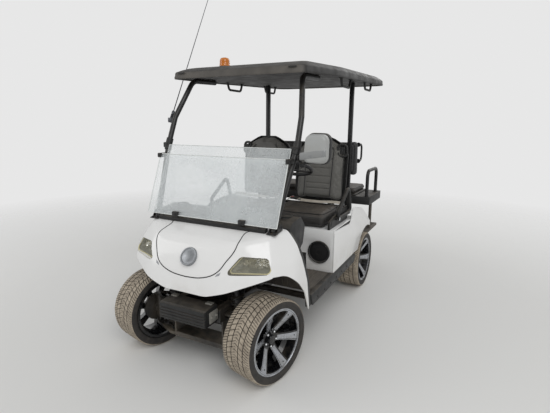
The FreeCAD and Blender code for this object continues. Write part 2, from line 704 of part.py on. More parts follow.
def build_rear_seat():
    y0, y1 = aft(DECK_Y[0]), aft(DECK_Y[1])
    deck = box((-590, 590), (y0, y1), DECK_Z)
    deck = cut(deck, box((-560, 560), (y0 + 20, y1 - 20), (DECK_Z[0] - 1, DECK_Z[1] - 8)))
    ledges = [box((s * ARM_X - 30, s * ARM_X + 30), (y0 + 10, y1 - 10), (DECK_Z[0], DECK_Z[1] - 4)) for s in (1, -1)]
    hinge_y, top = y1 - 6, DECK_Z[1] + SEAT
    hinges = [knuckle_barrel(x, hinge_y, DECK_Z[1], 30) for x in HINGE_X]
    keep("rear_deck", joined(deck, *(ledges + hinges)))
    hoop = tube([(552, y0 + 35, top), (552, y0 + 35, 1065), (552, y1 - 72, 1065), (552, y1 - 72, top)], 16, 50)
    keep("side_hoops", *both_sides(hoop))
    cushion = prism([(y0 + 15, top, 10), (y0 + 15, 895, 30), (y1 - 28, 885, 30), (y1 - 28, top)], "yz", -450, 450)
    middle = top + HINGE_RADIUS
    straps = []
    for x in HINGE_X:
        straps.append(rod((x + 16, hinge_y, middle), (x + 44, hinge_y, middle), HINGE_RADIUS))
        straps.append(box((x + 16, x + 44), (y1 - 29, hinge_y), (middle - 4, middle)))
    keep("rear_cushion", joined(cushion, *straps))
    front = aft(REAR_BACK_FRONT) + SEAT
    keep("rear_seat_back", prism([(front, 1020, 15), (front, 1350, 20), (front + 74, 1350, 30), (front + 94, 1020, 20)],
                                 "yz", -490, 490))
    back = front + 92
    grab = tube([(470, back - 16, 1310), (470, back + 100, 1310), (470, back + 100, 1160), (470, back - 8, 1160)], 9, 45,
                sides=8)
    back_face = prism([(front - 50, 900), (front - 50, 1400), (front + 71 + SEAT, 1400), (front + 74 + SEAT, 1350),
                       (front + 94 + SEAT, 1020), (front + 102, 900)], "yz", 400, 600)
    keep("grab_hoops", *both_sides(cut(grab, back_face)))


def build_seat_frame():
    """The roof's rear posts with their cross bars, and the welded frame under the rear seat."""
    posts, pieces = [], []
    front, back = aft(REAR_BACK_FRONT) - 36, aft(REAR_BACK_FRONT)
    for side in (1, -1):
        x = side * REAR_POST_X
        high = roof_z(REAR_BACK_FRONT - 36) + ROOF_RIB_LIFT - SEAT
        posts.append(box((x - 18, x + 18), (front, back), (DECK_Z[0] - SEAT, high)))
    for z in (1100, 1260):
        reach = REAR_POST_X - 18 - SEAT
        posts.append(box((-reach, reach), (front + 6, back), (z, z + 30)))
    keep("rear_struts", *posts)
    high = DECK_Z[0] - SEAT
    low = high - ARM_DEPTH
    for side in (1, -1):
        x = side * ARM_X
        pieces.append(box((x - 15, x + 15), (aft(1300), aft(DECK_Y[1]) - 27), (low, high)))
        for y in (rear(-184), rear(276)):
            pieces.append(box((side * RAIL_X - 18, side * RAIL_X + 18), (y, y + 36), (RAIL_TOP + SEAT, high)))
        slats = [(seat_back_rear(low), low), (seat_back_rear(1240), 1240), (seat_back_rear(1240) + 28, 1240),
                 (seat_back_rear(low) + 28, low)]
        pieces.append(prism(slats, "yz", x - 15, x + 15))
    for y, half in ((rear(-184), ARM_X + 15), (front, REAR_POST_X + 18), (rear(276), ARM_X + 15)):
        pieces.append(box((-half, half), (y, y + 36), (low, high - SEAT)))
    keep("seat_frame", joined(*pieces))


def build_footrest():
    low = RAIL_TOP + SEAT
    deck = box((-520, 520), (rear(356), rear(786)), (low, low + 25))
    tread = box((-500, 500), (rear(376), rear(766)), (low + 20, low + 26))
    y = rear(528)
    posts = [drum((side * 500, y, low + 10), (side * 500, y, DECK_Z[0] - SEAT), 16, sides=12) for side in (1, -1)]
    keep("footrest", joined(cut(deck, tread), *posts))


def roof_z(distance):
    share = (distance - ROOF_FRONT) / (ROOF_REAR - ROOF_FRONT)
    return ROOF_FRONT_Z + share * (ROOF_REAR_Z - ROOF_FRONT_Z)


def roof_ring(side_inset, end_inset, lift):
    """Plan outline of the roof, narrower in front, tilted with the roof's rise to the rear."""
    y0, y1 = aft(ROOF_FRONT) + end_inset, aft(ROOF_REAR) - end_inset
    front, side = ROOF_FRONT_HALF - side_inset, ROOF_HALF - side_inset
    right = [(front, y0, 45), (side, y0 + 520, 700), (side, y1, 110)]
    left = [(-p[0], p[1], p[2]) for p in reversed(right)]
    wire = outline(chorded(right + left), "xy", 0)
    wire.translate(V(0, 0, ROOF_FRONT_Z + lift))
    slope = math.degrees(math.atan2(ROOF_REAR_Z - ROOF_FRONT_Z, ROOF_REAR - ROOF_FRONT))
    wire.rotate(V(0, aft(ROOF_FRONT), ROOF_FRONT_Z), V(1, 0, 0), slope)
    return wire


def roof_block(wall):
    # side inset, end inset, lift above the flange's lower edge
    rings = [(0, 0, 0), (8, 14, ROOF_FLANGE), (50, 130, ROOF_FLANGE + 30), (190, 330, ROOF_TOP_LIFT)]
    wires = []
    for i, (side, end, lift) in enumerate(rings):
        wires.append(roof_ring(side + wall, end + wall, lift - (wall if i else 2 * wall)))
    return joined(*[Part.makeLoft([low, high], True, True) for low, high in zip(wires[:-1], wires[1:])])


def build_roof():
    outer = roof_block(0.0)
    ribs = []
    y0, y1 = 430.0, ROOF_STEP - 20
    for side in (1, -1):
        x = sorted((side * ROOF_RIB_X[0], side * ROOF_RIB_X[1]))
        profile = [(aft(y0), roof_z(y0) + ROOF_RIB_LIFT), (aft(y1), roof_z(y1) + ROOF_RIB_LIFT), (aft(y1), 2000),
                   (aft(y0), 2000)]
        ribs.append(prism(profile, "yz", x[0], x[1]).common(outer))
    step, end = ROOF_STEP, ROOF_REAR + 150
    rear_lip = [(aft(step), 1700), (aft(step), roof_z(step) + 10), (aft(step + 14), roof_z(step) + 28),
                (aft(end), roof_z(end) + 28), (aft(end), 1700)]
    shell = cut(outer, roof_block(ROOF_WALL))
    keep("roof", joined(cut(shell, prism(rear_lip, "yz", -700, 700)), *ribs))


def strut_points():
    """Centre line of the left strut from under the hood's top to its end below the roof."""
    under = ROOF_RIB_LIFT - STRUT_RADIUS - SEAT - 0.5
    ways = [STRUT_FOOT, KNEE, (486, 350, 1530), (428, 490, roof_z(490) + under), (428, 760, roof_z(760) + under)]
    return [(x, aft(distance), z) for x, distance, z in ways]


def build_front_struts():
    points = strut_points()
    x, distance = STRUT_FOOT[0] + 6, STRUT_FOOT[1] + 14
    front, back = distance - 30, distance + 30
    plate = prism([(aft(front), hood_z(front) + SEAT), (aft(back), hood_z(back) + SEAT), (aft(back), hood_z(back) + 9),
                   (aft(front), hood_z(front) + 9)], "yz", x - 32, x + 32)
    bar = tube(points, STRUT_RADIUS, 60).common(hood_above(SEAT))
    keep("front_struts", *both_sides(joined(bar, plate)))


def build_handles():
    handles = []
    for x, distance in ((500, WHEELBASE + 166), (-500, WHEELBASE + 166), (500, 1165), (-500, 1165)):
        front, back = distance - 200, distance + 200
        lift = ROOF_RIB_LIFT - SEAT
        ends = [roof_z(distance + d) + lift + 7.5 for d in (-130, 130)]
        low = roof_z(distance) - 52
        grip = tube([(x, aft(distance - 134), ends[0]), (x, aft(distance - 90), low), (x, aft(distance + 90), low),
                     (x, aft(distance + 134), ends[1])], 10, 25, sides=8)
        above = prism([(aft(front), roof_z(front) + lift), (aft(back), roof_z(back) + lift), (aft(back), 2000),
                       (aft(front), 2000)], "yz", x - 20, x + 20)
        handles.append(cut(grip, above))
    keep("roof_handles", *handles)


def build_beacon():
    x, distance = -400.0, 860.0
    foot = V(x, aft(distance), roof_z(distance) + ROOF_TOP_LIFT - 20)
    under = roof_block(0.0)
    under.translate(V(0, 0, SEAT))
    seat = foot + V(0, 0, 17)
    keep("beacon_base", cut(drum(foot, seat + V(0, 0, 34), 50, 44), under))
    dome = [ring_round(seat + V(0, 0, z), V(0, 0, 1), radius, 16) for z, radius in
            ((34 + SEAT, 42), (86, 40), (100, 26))]
    keep("beacon_dome", skin(dome))


def build_whip():
    base = V(-530, aft(345), 1497)
    tip = V(-706, aft(1148), 2640)
    way = tip - base
    way.normalize()
    mount = drum(base, base + way * 90, 12, sides=10)
    knee, neck = [V(-p[0], p[1], p[2]) for p in strut_points()[1:3]]
    clamp = cut(box((-534, -490), (aft(332), aft(352)), (1500, 1525)), rod(tuple(knee), tuple(neck), STRUT_RADIUS + SEAT),
                box((-500, -480), (aft(200), aft(500)), (1400, 1600)))
    keep("whip_antenna", joined(mount, largest(clamp), drum(base, tip, 3.5, sides=6)))


def pane(half, low, high, front, back):
    """A flat pane between its low and high (y, z) front edges, from the front to the back depth behind its front face."""
    away = V(0, high[1] - low[1], low[0] - high[0])
    away.normalize()
    corners = [(-half, *low), (half, *low), (half, *high), (-half, *high)]
    corners = [V(*c) + away * front for c in corners]
    return Part.Face(Part.makePolygon(corners + [corners[0]])).extrude(away * (back - front))


def build_windshield():
    """Lower pane on the struts' front, the upper pane folded down before it, with hinges, clips and base strip."""
    foot, knee = [V(*p) for p in strut_points()[:2]]
    strut = rod(tuple(foot), tuple(knee + (knee - foot) * 0.2), STRUT_RADIUS + SEAT)
    lean = (knee.y - foot.y) / (knee.z - foot.z)
    stand_off = (STRUT_RADIUS + SEAT + PANE) * math.hypot(1, lean)
    low, high = [(foot.y + (z - foot.z) * lean - stand_off, z) for z in (900.0, 1344.0)]
    keep("windshield_lower", pane(466, low, high, 0, PANE))
    hem, hinge = (aft(34), 905.0), (aft(182), 1285.0)
    keep("windshield_upper", pane(484, hem, hinge, 0, PANE))
    clearance = joined(pane(520, low, high, -SEAT, PANE + SEAT), pane(520, hem, hinge, -60, PANE + SEAT))
    base = low[0] - FRONT_AXLE_Y
    strip = prism([(aft(base + 21), hood_z(base + 21) + SEAT), (aft(base - 17), hood_z(base - 17) + SEAT),
                   (aft(base - 17), 884, 4), (low[0], low[1] - 4), (aft(base + 15), low[1] - 4, 4)], "yz", -400, 400)
    blocks = []
    for side in (1, -1):
        hinge_block = box(sorted((side * 470, side * 500)), (aft(170), aft(250)), (1262, 1284))
        blocks.append(largest(cut(hinge_block, clearance, strut if side > 0 else mirrored(strut))))
        clip = box((side * 250 - 20, side * 250 + 20), (aft(20), low[0] + 5), (908, 922))
        blocks.append(largest(cut(clip, clearance)))
    keep("windshield_fittings", strip, *blocks)


def build_mirror():
    x, y = 622, aft(255)
    rim = [(544, 1262, 30), (704, 1256, 40), (708, 1440, 40), (560, 1442, 40)]
    glass = [(556, 1276, 20), (694, 1270, 28), (698, 1428, 28), (572, 1430, 28)]
    housing = cut(prism(chorded(rim), "xz", y - 45, y + 45), prism(chorded(glass), "xz", y + 36, y + 50))
    arm = tube([(491 + STRUT_RADIUS + SEAT + 1.4, y, 1292), (540, y, 1250), (600, y, 1262)], 8, 18, sides=8)
    keep("side_mirror", joined(housing, arm))


def build_bumper():
    back = aft(RAIL_FRONT) - SEAT
    keep("bumper", prism([(aft(-236), 335, 15), (aft(-232), 440, 15), (back, 446, 10), (back, 330, 10)], "yz", -168, 168))


def build_dash():
    front = aft(162)
    (low_y, low_z), (high_y, high_z) = FIREWALL
    profile = [(front, hood_z(162) - 20), (front, hood_z(162), 8), (aft(200), 905, 20), (aft(330), 920, 30),
               (aft(400), 850, 40), (aft(370), 740, 30), (aft(high_y) + 12, high_z), (aft(high_y) - 6, high_z)]
    dash = prism(profile, "yz", -CUP_X - 95, CUP_X + 95)
    y, (low, high) = aft(CUP_Y), CUP_Z
    cups = [rod((s * CUP_X, y, low), (s * CUP_X, y, high + 60), CUP_RADIUS) for s in (1, -1)]
    rims = [drum((s * CUP_X, y, low - 8), (s * CUP_X, y, high), CUP_RADIUS + 7, sides=20) for s in (1, -1)]
    shelf = prism([(aft(240), 760, 15), (aft(260), 860, 15), (aft(500), 860), (aft(480), 740)], "yz", -180, 60)
    keep("dashboard", cut(joined(cut(dash, shelf), *rims), *cups))
    wall = prism([(aft(low_y), low_z), (aft(high_y), high_z - SEAT), (aft(high_y) + FIREWALL_THICK, high_z - SEAT),
                  (aft(low_y) + FIREWALL_THICK, low_z)], "yz", -BODY_HALF + 45, BODY_HALF - 45)
    keep("firewall", wall)


def build_pedals():
    pads = []
    for x, width in ((330, 34), (215, 48)):
        pad = prism([(aft(385), 520), (aft(430), 600), (aft(424), 604), (aft(379), 524)], "yz", x - width, x + width)
        stalk = behind_firewall(drum((x, aft(399), 560), (x, aft(290), 604), 8, sides=8))
        pads.append(joined(pad, stalk))
    keep("pedals", *pads)


def lamp_window(gap):
    """The left headlamp's outline pushed through the nose."""
    corners = [(262 - gap, 660 - gap, 15), (329 - gap, 758 + gap, 25), (470 + gap, 750 + gap, 30),
               (505 + gap, 668 - gap, 20)]
    return prism(chorded(corners), "xz", aft(-300), aft(40))


def build_emblem():
    middle, outward = V(0, aft(-152), 722), V(0, -0.82, 0.572)
    disc = Part.makeCylinder(57, 40, middle - outward * 30, outward)
    front = Part.makeCylinder(80, 60, middle + outward * 8, outward)
    keep("emblem", cut(disc, cowl_solid(-SEAT), front))


def build_lamps():
    lens = cut(cowl_solid(-3.0).common(lamp_window(0.0)), cowl_solid(14.0))
    keep("headlamps", *both_sides(lens))


def build_tail():
    face = aft(DECK_Y[1]) + SEAT
    lamps = [box((s * 480 - 60, s * 480 + 60), (face, face + 10), (768, 808)) for s in (1, -1)]
    keep("tail_lamps", *lamps)


def build_all():
    build_wheels()
    build_steering_gear()
    build_steering_wheel()
    build_front_suspension()
    build_frame()
    build_rear_axle()
    build_rear_suspension()
    build_floor()
    build_cowl()
    build_rear_body()
    build_battery()
    build_front_seat()
    build_seat_sides()
    build_rear_seat()
    build_seat_frame()
    build_footrest()
    build_roof()
    build_front_struts()
    build_handles()
    build_beacon()
    build_whip()
    build_windshield()
    build_mirror()
    build_bumper()
    build_dash()
    build_pedals()
    build_lamps()
    build_emblem()
    build_tail()
    os.makedirs("parts", exist_ok=True)
    for name, shape in PARTS.items():
        if not shape.isValid():
            print("not valid:", name)
        shape.exportStep("parts/" + name + ".step")
        print(name, len(shape.Solids), "solids", round(shape.Volume / 1e6, 2), "dm3")


build_all()
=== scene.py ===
import json
import math

import bmesh
import bpy
from mathutils import Matrix, Vector, bvhtree


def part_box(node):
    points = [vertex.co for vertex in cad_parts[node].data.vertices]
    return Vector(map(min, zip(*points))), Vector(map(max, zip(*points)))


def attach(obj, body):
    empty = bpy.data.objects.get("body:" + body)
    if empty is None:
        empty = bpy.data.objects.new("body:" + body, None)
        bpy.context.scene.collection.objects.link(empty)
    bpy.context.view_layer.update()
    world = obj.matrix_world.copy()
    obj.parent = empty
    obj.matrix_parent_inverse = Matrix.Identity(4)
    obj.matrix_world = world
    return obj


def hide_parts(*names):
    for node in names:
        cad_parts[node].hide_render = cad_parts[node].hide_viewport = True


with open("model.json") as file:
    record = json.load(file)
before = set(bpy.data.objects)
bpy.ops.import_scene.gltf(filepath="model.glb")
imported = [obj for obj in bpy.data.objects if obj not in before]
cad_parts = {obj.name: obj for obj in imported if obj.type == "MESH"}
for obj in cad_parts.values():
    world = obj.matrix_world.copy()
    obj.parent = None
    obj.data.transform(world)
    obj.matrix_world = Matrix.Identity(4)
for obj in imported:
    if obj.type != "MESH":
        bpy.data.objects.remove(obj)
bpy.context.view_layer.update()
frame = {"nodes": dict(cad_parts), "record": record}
nodes = frame["nodes"]
print("frame loaded:", len(nodes), "nodes")


# Shader maths

class Signal:  # a node socket that takes part in Python sums
    def __init__(self, graph, socket):
        self.graph = graph
        self.socket = socket

    def combine(self, operation, other=None, swap=False):
        first, second = (other, self) if swap else (self, other)
        return self.graph.node("Math", {"operation": operation}, {0: first, 1: second})

    def __add__(self, other):
        return self.combine("ADD", other)

    def __sub__(self, other):
        return self.combine("SUBTRACT", other)

    def __rsub__(self, other):
        return self.combine("SUBTRACT", other, swap=True)

    def __mul__(self, other):
        return self.combine("MULTIPLY", other)

    def __truediv__(self, other):
        return self.combine("DIVIDE", other)

    def __abs__(self):
        return self.combine("ABSOLUTE")

    def __mod__(self, other):
        return self.combine("FLOORED_MODULO", other)

    def __pow__(self, other):
        return self.combine("POWER", other)

    __radd__ = __add__
    __rmul__ = __mul__


def shade(hexCode):  # a written sRGB colour as the linear values a shader takes
    values = [int(hexCode[i:i + 2], 16) / 255 for i in (0, 2, 4)]
    return tuple(v / 12.92 if v <= 0.04045 else ((v + 0.055) / 1.055) ** 2.4 for v in values)


class Graph:  # one material and short ways to add its nodes
    def __init__(self, name, color, rough, metal=0.0, **fixed):
        self.material = bpy.data.materials.new(name)
        self.material.use_nodes = True
        self.tree = self.material.node_tree
        self.shader = self.tree.nodes["Principled BSDF"]
        self.give("Base Color", shade(color))
        self.give("Roughness", rough)
        self.give("Metallic", metal)
        for key, value in fixed.items():
            self.give(key.replace("_", " "), value)

    def feed(self, socket, value):
        if value is None:
            return
        if isinstance(value, Signal):
            self.tree.links.new(value.socket, socket)
        elif isinstance(value, (tuple, list)) and len(socket.default_value) == 4 and len(value) == 3:
            socket.default_value = (*value, 1.0)
        else:
            socket.default_value = value

    def give(self, name, value):
        self.feed(self.shader.inputs[name], value)

    def node(self, kind, settings=None, inputs=None, output=0):
        made = self.tree.nodes.new("ShaderNode" + kind)
        for key, value in (settings or {}).items():
            setattr(made, key, value)
        for key, value in (inputs or {}).items():
            self.feed(made.inputs[key], value)
        return Signal(self, made.outputs[output])

    def place(self):
        return self.node("TexCoord", output="Object")

    def axes(self, source=None):
        made = self.tree.nodes.new("ShaderNodeSeparateXYZ")
        self.feed(made.inputs[0], source or self.place())
        return [Signal(self, socket) for socket in made.outputs]

    def facing(self):
        return self.axes(self.node("NewGeometry", output="Normal"))

    def noise(self, scale, detail=3.0, rough=0.5, stretch=(1, 1, 1)):
        vector = self.node("Mapping", None, {"Vector": self.place(), "Scale": stretch})
        inputs = {"Vector": vector, "Scale": scale, "Detail": detail, "Roughness": rough}
        return self.node("TexNoise", None, inputs)

    def cells(self, scale, feature="F1"):
        return self.node("TexVoronoi", {"feature": feature}, {"Vector": self.place(), "Scale": scale})

    def spread(self, value, low, high, first=0.0, last=1.0):
        inputs = {"Value": value, "From Min": low, "From Max": high, "To Min": first, "To Max": last}
        return self.node("MapRange", None, inputs)

    def mix(self, factor, first, second):
        return self.node("Mix", {"data_type": "RGBA"}, {0: factor, 6: first, 7: second}, output=2)

    def tint(self, factor, first, second):
        self.give("Base Color", self.mix(factor, shade(first), shade(second)))

    def bump(self, height, strength, distance):
        inputs = {"Height": height, "Strength": strength, "Distance": distance}
        self.give("Normal", self.node("Bump", None, inputs))

    def sheen(self, scale, low, high, extra=None):  # roughness that wanders between two values
        rough = self.spread(self.noise(scale), 0.3, 0.7, low, high)
        self.give("Roughness", rough if extra is None else rough + extra)


dust = "8d8272"


def glossPaint():
    look = {"color": "eeeeed", "grime": "b9b2a4", "rough": 0.16}
    g = Graph("glossPaint", look["color"], look["rough"], Coat_Weight=0.35, Coat_Roughness=0.05)
    low = g.spread(g.axes()[2], 0.62, 0.34)
    streaks = g.spread(g.noise(6.0, 6.0, 0.65), 0.45, 0.75)
    grime = low * streaks * 0.75 + g.spread(g.noise(1.7, 4.0), 0.55, 0.8) * 0.10
    g.tint(grime, look["color"], look["grime"])
    g.give("Roughness", g.spread(g.noise(3.0, 5.0), 0.3, 0.8, 0.12, 0.24) + grime * 0.4)
    g.bump(g.noise(2.2, 2.0), 0.05, 0.01)
    return g.material


def roofPlastic():
    # The dusty colour is both dust on the tops and a painted highlight on the front-facing faces
    look = {"color": "2c2b2a", "dusty": "6f6a63", "grainSize": 900.0}
    g = Graph("roofPlastic", look["color"], 0.6)
    ny, nz = g.facing()[1:]
    upward = g.spread(nz, 0.35, 0.95)
    # Front-facing faces take the dusty colour at least a third of the way, more than the tops: this part of
    # settled is a painted highlight of the lit front, while the lighter tops are dust
    front = g.spread(ny, -0.5, -0.95)
    above = upward * g.spread(g.noise(5.0, 6.0, 0.7), 0.3, 0.75) * 0.45
    settled = above + front * g.spread(g.noise(9.0, 5.0), 0.3, 0.8, 0.35, 0.8)
    g.tint(settled, look["color"], look["dusty"])
    g.sheen(12.0, 0.5, 0.72)
    g.bump(g.cells(look["grainSize"]), 0.25, 0.0006)
    return g.material


def blackMetal():
    look = {"color": "171718"}
    g = Graph("blackMetal", look["color"], 0.4, Coat_Weight=0.15, Coat_Roughness=0.3)
    z, nz = g.axes()[2], g.facing()[2]
    above = g.spread(nz, 0.2, 0.9) * g.spread(g.noise(14.0, 5.0), 0.35, 0.75) * 0.35
    settled = above + g.spread(z, 0.5, 0.15) * g.spread(g.noise(7.0, 6.0), 0.35, 0.7) * 0.5
    g.tint(settled, look["color"], dust)
    g.sheen(25.0, 0.32, 0.5, settled * 0.3)
    g.bump(g.noise(420.0, 2.0), 0.12, 0.0005)
    return g.material


def trimPlastic(name, color, dusty, grain=700.0):
    g = Graph(name, color, 0.55)
    settled = g.spread(g.facing()[2], 0.3, 0.95) * g.spread(g.noise(11.0, 5.0, 0.65), 0.3, 0.8) * dusty
    g.tint(settled, color, dust)
    g.sheen(18.0, 0.45, 0.62, settled * 0.25)
    g.bump(g.cells(grain), 0.3, 0.0005)
    return g.material


def matRubber():
    look = {"color": "4d4944", "sand": "7f776c", "ribPitch": 0.018}
    g = Graph("matRubber", look["color"], 0.8)
    ribs = abs((g.axes()[0] / look["ribPitch"]) % 1.0 - 0.5) * 2.0
    sand = g.spread(g.noise(4.0, 8.0, 0.7), 0.35, 0.75) * 0.75
    g.tint(sand, look["color"], look["sand"])
    g.give("Roughness", g.spread(sand, 0, 1, 0.7, 0.92))
    g.bump(g.spread(ribs, 0.2, 0.5) + g.noise(60.0) * 0.2, 0.6, 0.003)
    return g.material


def leather(g, grain, waves):  # fine creases over slow waves
    creases = g.spread(g.cells(grain, "DISTANCE_TO_EDGE"), 0.0, 0.25)
    g.bump(creases + g.noise(waves, 3.0) * 0.8, 0.35, 0.0012)


def seatVinyl(name="seatVinyl", color="2d2d2f", scuffed="5b5854"):
    look = {"color": color, "scuffed": scuffed, "grainSize": 520.0}
    g = Graph(name, look["color"], 0.45, Sheen_Weight=0.1, Sheen_Roughness=0.5)
    settled = g.spread(g.facing()[2], 0.1, 0.95) * g.spread(g.noise(6.0, 7.0, 0.7), 0.35, 0.8) * 0.45
    worn = settled + g.spread(g.noise(2.0), 0.4, 0.7) * 0.15
    g.tint(worn, look["color"], look["scuffed"])
    g.sheen(30.0, 0.36, 0.52, settled * 0.2)
    leather(g, look["grainSize"], 18.0)
    return g.material


def clearPane():
    look = {"color": "eef3f4", "alpha": 0.18, "haze": 0.20}
    g = Graph("clearPane", look["color"], 0.06)
    nx, _, nz = g.facing()
    scratches = g.spread(g.noise(40.0, 6.0, 0.8, (1.0, 1.0, 0.12)), 0.55, 0.8)
    haze = g.spread(g.noise(3.0, 6.0, 0.65), 0.3, 0.8) * look["haze"]
    edge = g.spread(abs(nx) + g.spread(abs(nz), 0.75, 0.95), 0.5, 0.9)
    g.give("Alpha", haze + scratches * 0.10 + edge * 0.45 + look["alpha"])
    g.give("Roughness", g.spread(haze, 0.0, look["haze"], 0.05, 0.22))
    return g.material


def tinted(name, color, alpha, rough=0.06, coat=0.5):
    g = Graph(name, color, rough, Coat_Weight=coat, Coat_Roughness=0.04)
    g.give("Alpha", g.spread(g.noise(30.0, 4.0), 0.3, 0.8, alpha, min(1.0, alpha + 0.14)))
    g.give("Base Color", g.mix(g.noise(9.0, 4.0), shade(color), tuple(c * 0.8 for c in shade(color))))
    return g.material


def polished(name, color, rough):
    g = Graph(name, color, rough, 1.0)
    g.give("Roughness", g.spread(g.noise(35.0, 4.0), 0.3, 0.8, rough * 0.7, rough * 1.7))
    g.bump(g.noise(260.0, 2.0), 0.05, 0.0004)
    return g.material


def sidewallRubber():
    look = {"color": "232324", "sand": "8c8276"}
    g = Graph("sidewallRubber", look["color"], 0.75)
    sand = g.spread(g.noise(26.0, 7.0, 0.7), 0.3, 0.75)
    g.tint(sand * 0.2, look["color"], look["sand"])
    g.give("Roughness", g.spread(sand, 0, 1, 0.65, 0.9))
    g.bump(g.noise(300.0, 3.0), 0.25, 0.0008)
    return g.material


def satin(name, color, rough, low, high, scale=40.0):
    g = Graph(name, color, rough)
    g.sheen(scale, low, high)
    return g.material


looks = {
    "tyre_rubber": sidewallRubber(),
    "wheel_metal": polished("wheelMetal", "b9bbbd", 0.25),
    "body_white": glossPaint(),
    "roof_plastic": roofPlastic(),
    "frame_black": blackMetal(),
    "trim_plastic": trimPlastic("trimPlastic", "222222", 0.4),
    "floor_mat": matRubber(),
    "seat_vinyl": seatVinyl(),
    "clear_pane": clearPane(),
    "lamp_lens": tinted("lampLens", "e4dfc6", 0.07),
    "amber_lens": tinted("amberLens", "e8861d", 0.85),
    "red_lens": tinted("redLens", "8c1712", 0.9),
    "bright_chrome": polished("brightChrome", "d4d6d8", 0.1),
    "mirror_grey": trimPlastic("mirrorGrey", "6e7072", 0.15, 1500.0),
    "aerial_steel": polished("aerialSteel", "55565a", 0.35),
}
slotOf = {row["node"]: row["material_slot"] for row in frame["record"]["subparts"]}
bodyOf = {each: body for body, names in frame["record"]["behaviour"]["bodies"].items() for each in names}
for name, obj in nodes.items():
    obj.data.materials.clear()
    obj.data.materials.append(looks[slotOf[name]])
print("materials made:", len(looks))


# Camera, floor and light

camera = {"place": (1.4627, -3.0205, 1.4859), "azimuth": 26.75, "elevation": 11.57, "roll": 0.47,
          "lens": 26.26}


def aimCamera():
    a, e, r = (math.radians(camera[k]) for k in ("azimuth", "elevation", "roll"))
    back = Vector((math.sin(a) * math.cos(e), -math.cos(a) * math.cos(e), math.sin(e)))
    right = (-back).cross(Vector((0, 0, 1))).normalized()
    up = back.cross(right)
    tilted = right * math.cos(r) + up * math.sin(r)
    upright = up * math.cos(r) - right * math.sin(r)
    data = bpy.data.cameras.new("photoCamera")
    data.lens = camera["lens"]
    data.sensor_width = 36.0
    obj = bpy.data.objects.new("photoCamera", data)
    turn = Matrix((tilted, upright, back)).transposed().to_4x4()
    obj.matrix_world = Matrix.Translation(camera["place"]) @ turn
    bpy.context.scene.collection.objects.link(obj)
    bpy.context.scene.camera = obj


def areaLamp(name, place, aim, size, power):
    data = bpy.data.lights.new(name, "AREA")
    data.shape = "RECTANGLE"
    data.size, data.size_y = size
    data.energy = power
    obj = bpy.data.objects.new(name, data)
    obj.location = place
    obj.rotation_euler = (Vector(aim) - Vector(place)).to_track_quat("-Z", "Y").to_euler()
    bpy.context.scene.collection.objects.link(obj)


studio = {"floor": "e4e4e2", "backdrop": 0.80, "worldLight": 0.52}


def makeFloor():
    bm = bmesh.new()
    bmesh.ops.create_circle(bm, cap_ends=True, segments=64, radius=9.5)
    mesh = bpy.data.meshes.new("floor")
    bm.to_mesh(mesh)
    bm.free()
    obj = bpy.data.objects.new("floor", mesh)
    bpy.context.scene.collection.objects.link(obj)
    g = Graph("paleFloor", studio["floor"], 0.85)
    x, y = g.axes()[:2]
    away = (x * x + y * y) ** 0.5
    g.give("Alpha", g.spread(away, 2.2, 6.5, 1.0, 0.0))
    mesh.materials.append(g.material)


def makeWorld():
    world = bpy.data.worlds.new("studio")
    world.use_nodes = True
    bpy.context.scene.world = world
    tree = world.node_tree
    background = tree.nodes["Background"]
    path = tree.nodes.new("ShaderNodeLightPath")
    seen = tree.nodes.new("ShaderNodeMath")
    seen.operation = "MAXIMUM"
    tree.links.new(path.outputs["Is Camera Ray"], seen.inputs[0])
    tree.links.new(path.outputs["Is Transmission Ray"], seen.inputs[1])
    level = tree.nodes.new("ShaderNodeMapRange")
    level.inputs["To Min"].default_value = studio["worldLight"]
    level.inputs["To Max"].default_value = studio["backdrop"]
    tree.links.new(seen.outputs[0], level.inputs["Value"])
    tree.links.new(level.outputs[0], background.inputs["Strength"])
    background.inputs["Color"].default_value = (1.0, 1.0, 1.0, 1.0)


aimCamera()
makeFloor()
makeWorld()
areaLamp("keyLamp", (3.5, -4.5, 5.5), (0, -0.3, 0.8), (4.0, 4.0), 148)
areaLamp("fillLamp", (-5.0, -3.5, 3.0), (0, 0, 0.9), (4.0, 3.0), 50)
areaLamp("rimLamp", (1.5, 5.5, 4.5), (0, 0, 1.0), (5.0, 3.0), 80)
bpy.context.scene.view_settings.view_transform = "Standard"
print("camera, floor and light ready")


# Shared modelling steps

frontAxle = 1087.0  # mm from the axle back to the frame's origin


def at(x, distance, z):  # mm to the left, behind the front axle and up
    return Vector((x, distance - frontAxle, z)) / 1000.0


def newObject(mesh, name, materials=(), smooth=None):
    for material in materials:
        mesh.materials.append(looks[material] if isinstance(material, str) else material)
    if smooth is not None:
        mesh.polygons.foreach_set("use_smooth", [True] * len(mesh.polygons))
        mesh.set_sharp_from_angle(angle=math.radians(smooth))
    obj = bpy.data.objects.new(name, mesh)
    bpy.context.scene.collection.objects.link(obj)
    return obj


def meshFrom(bm, name):
    bmesh.ops.recalc_face_normals(bm, faces=bm.faces)
    mesh = bpy.data.meshes.new(name)
    bm.to_mesh(mesh)
    bm.free()
    return mesh


def finishPiece(bm, name, materials, smooth=40.0, weld=False, body="chassis"):
    if weld:
        bmesh.ops.remove_doubles(bm, verts=bm.verts, dist=0.00005)
    obj = newObject(meshFrom(bm, name), name, materials, smooth)
    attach(obj, body)
    return obj


def finishNode(bm, node, materials, smooth=40.0, weld=False):  # a piece in place of one CAD node
    obj = finishPiece(bm, "visual_" + node, materials, smooth, weld, bodyOf[node])
    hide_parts(node)
    return obj


def paint(verts, material):
    for f in {f for v in verts for f in v.link_faces}:
        f.material_index = material


def turnedTo(way):  # the turn that takes Z along a direction
    return Vector(way).normalized().to_track_quat("Z", "Y").to_matrix()


def circle(radius, steps):
    angles = [math.tau * k / steps for k in range(steps)]
    return [Vector((radius * math.cos(a), radius * math.sin(a), 0)) for a in angles]


def polyline(bm, points):
    verts = [bm.verts.new(p) for p in points]
    return verts, [bm.edges.new(pair) for pair in zip(verts, verts[1:])]


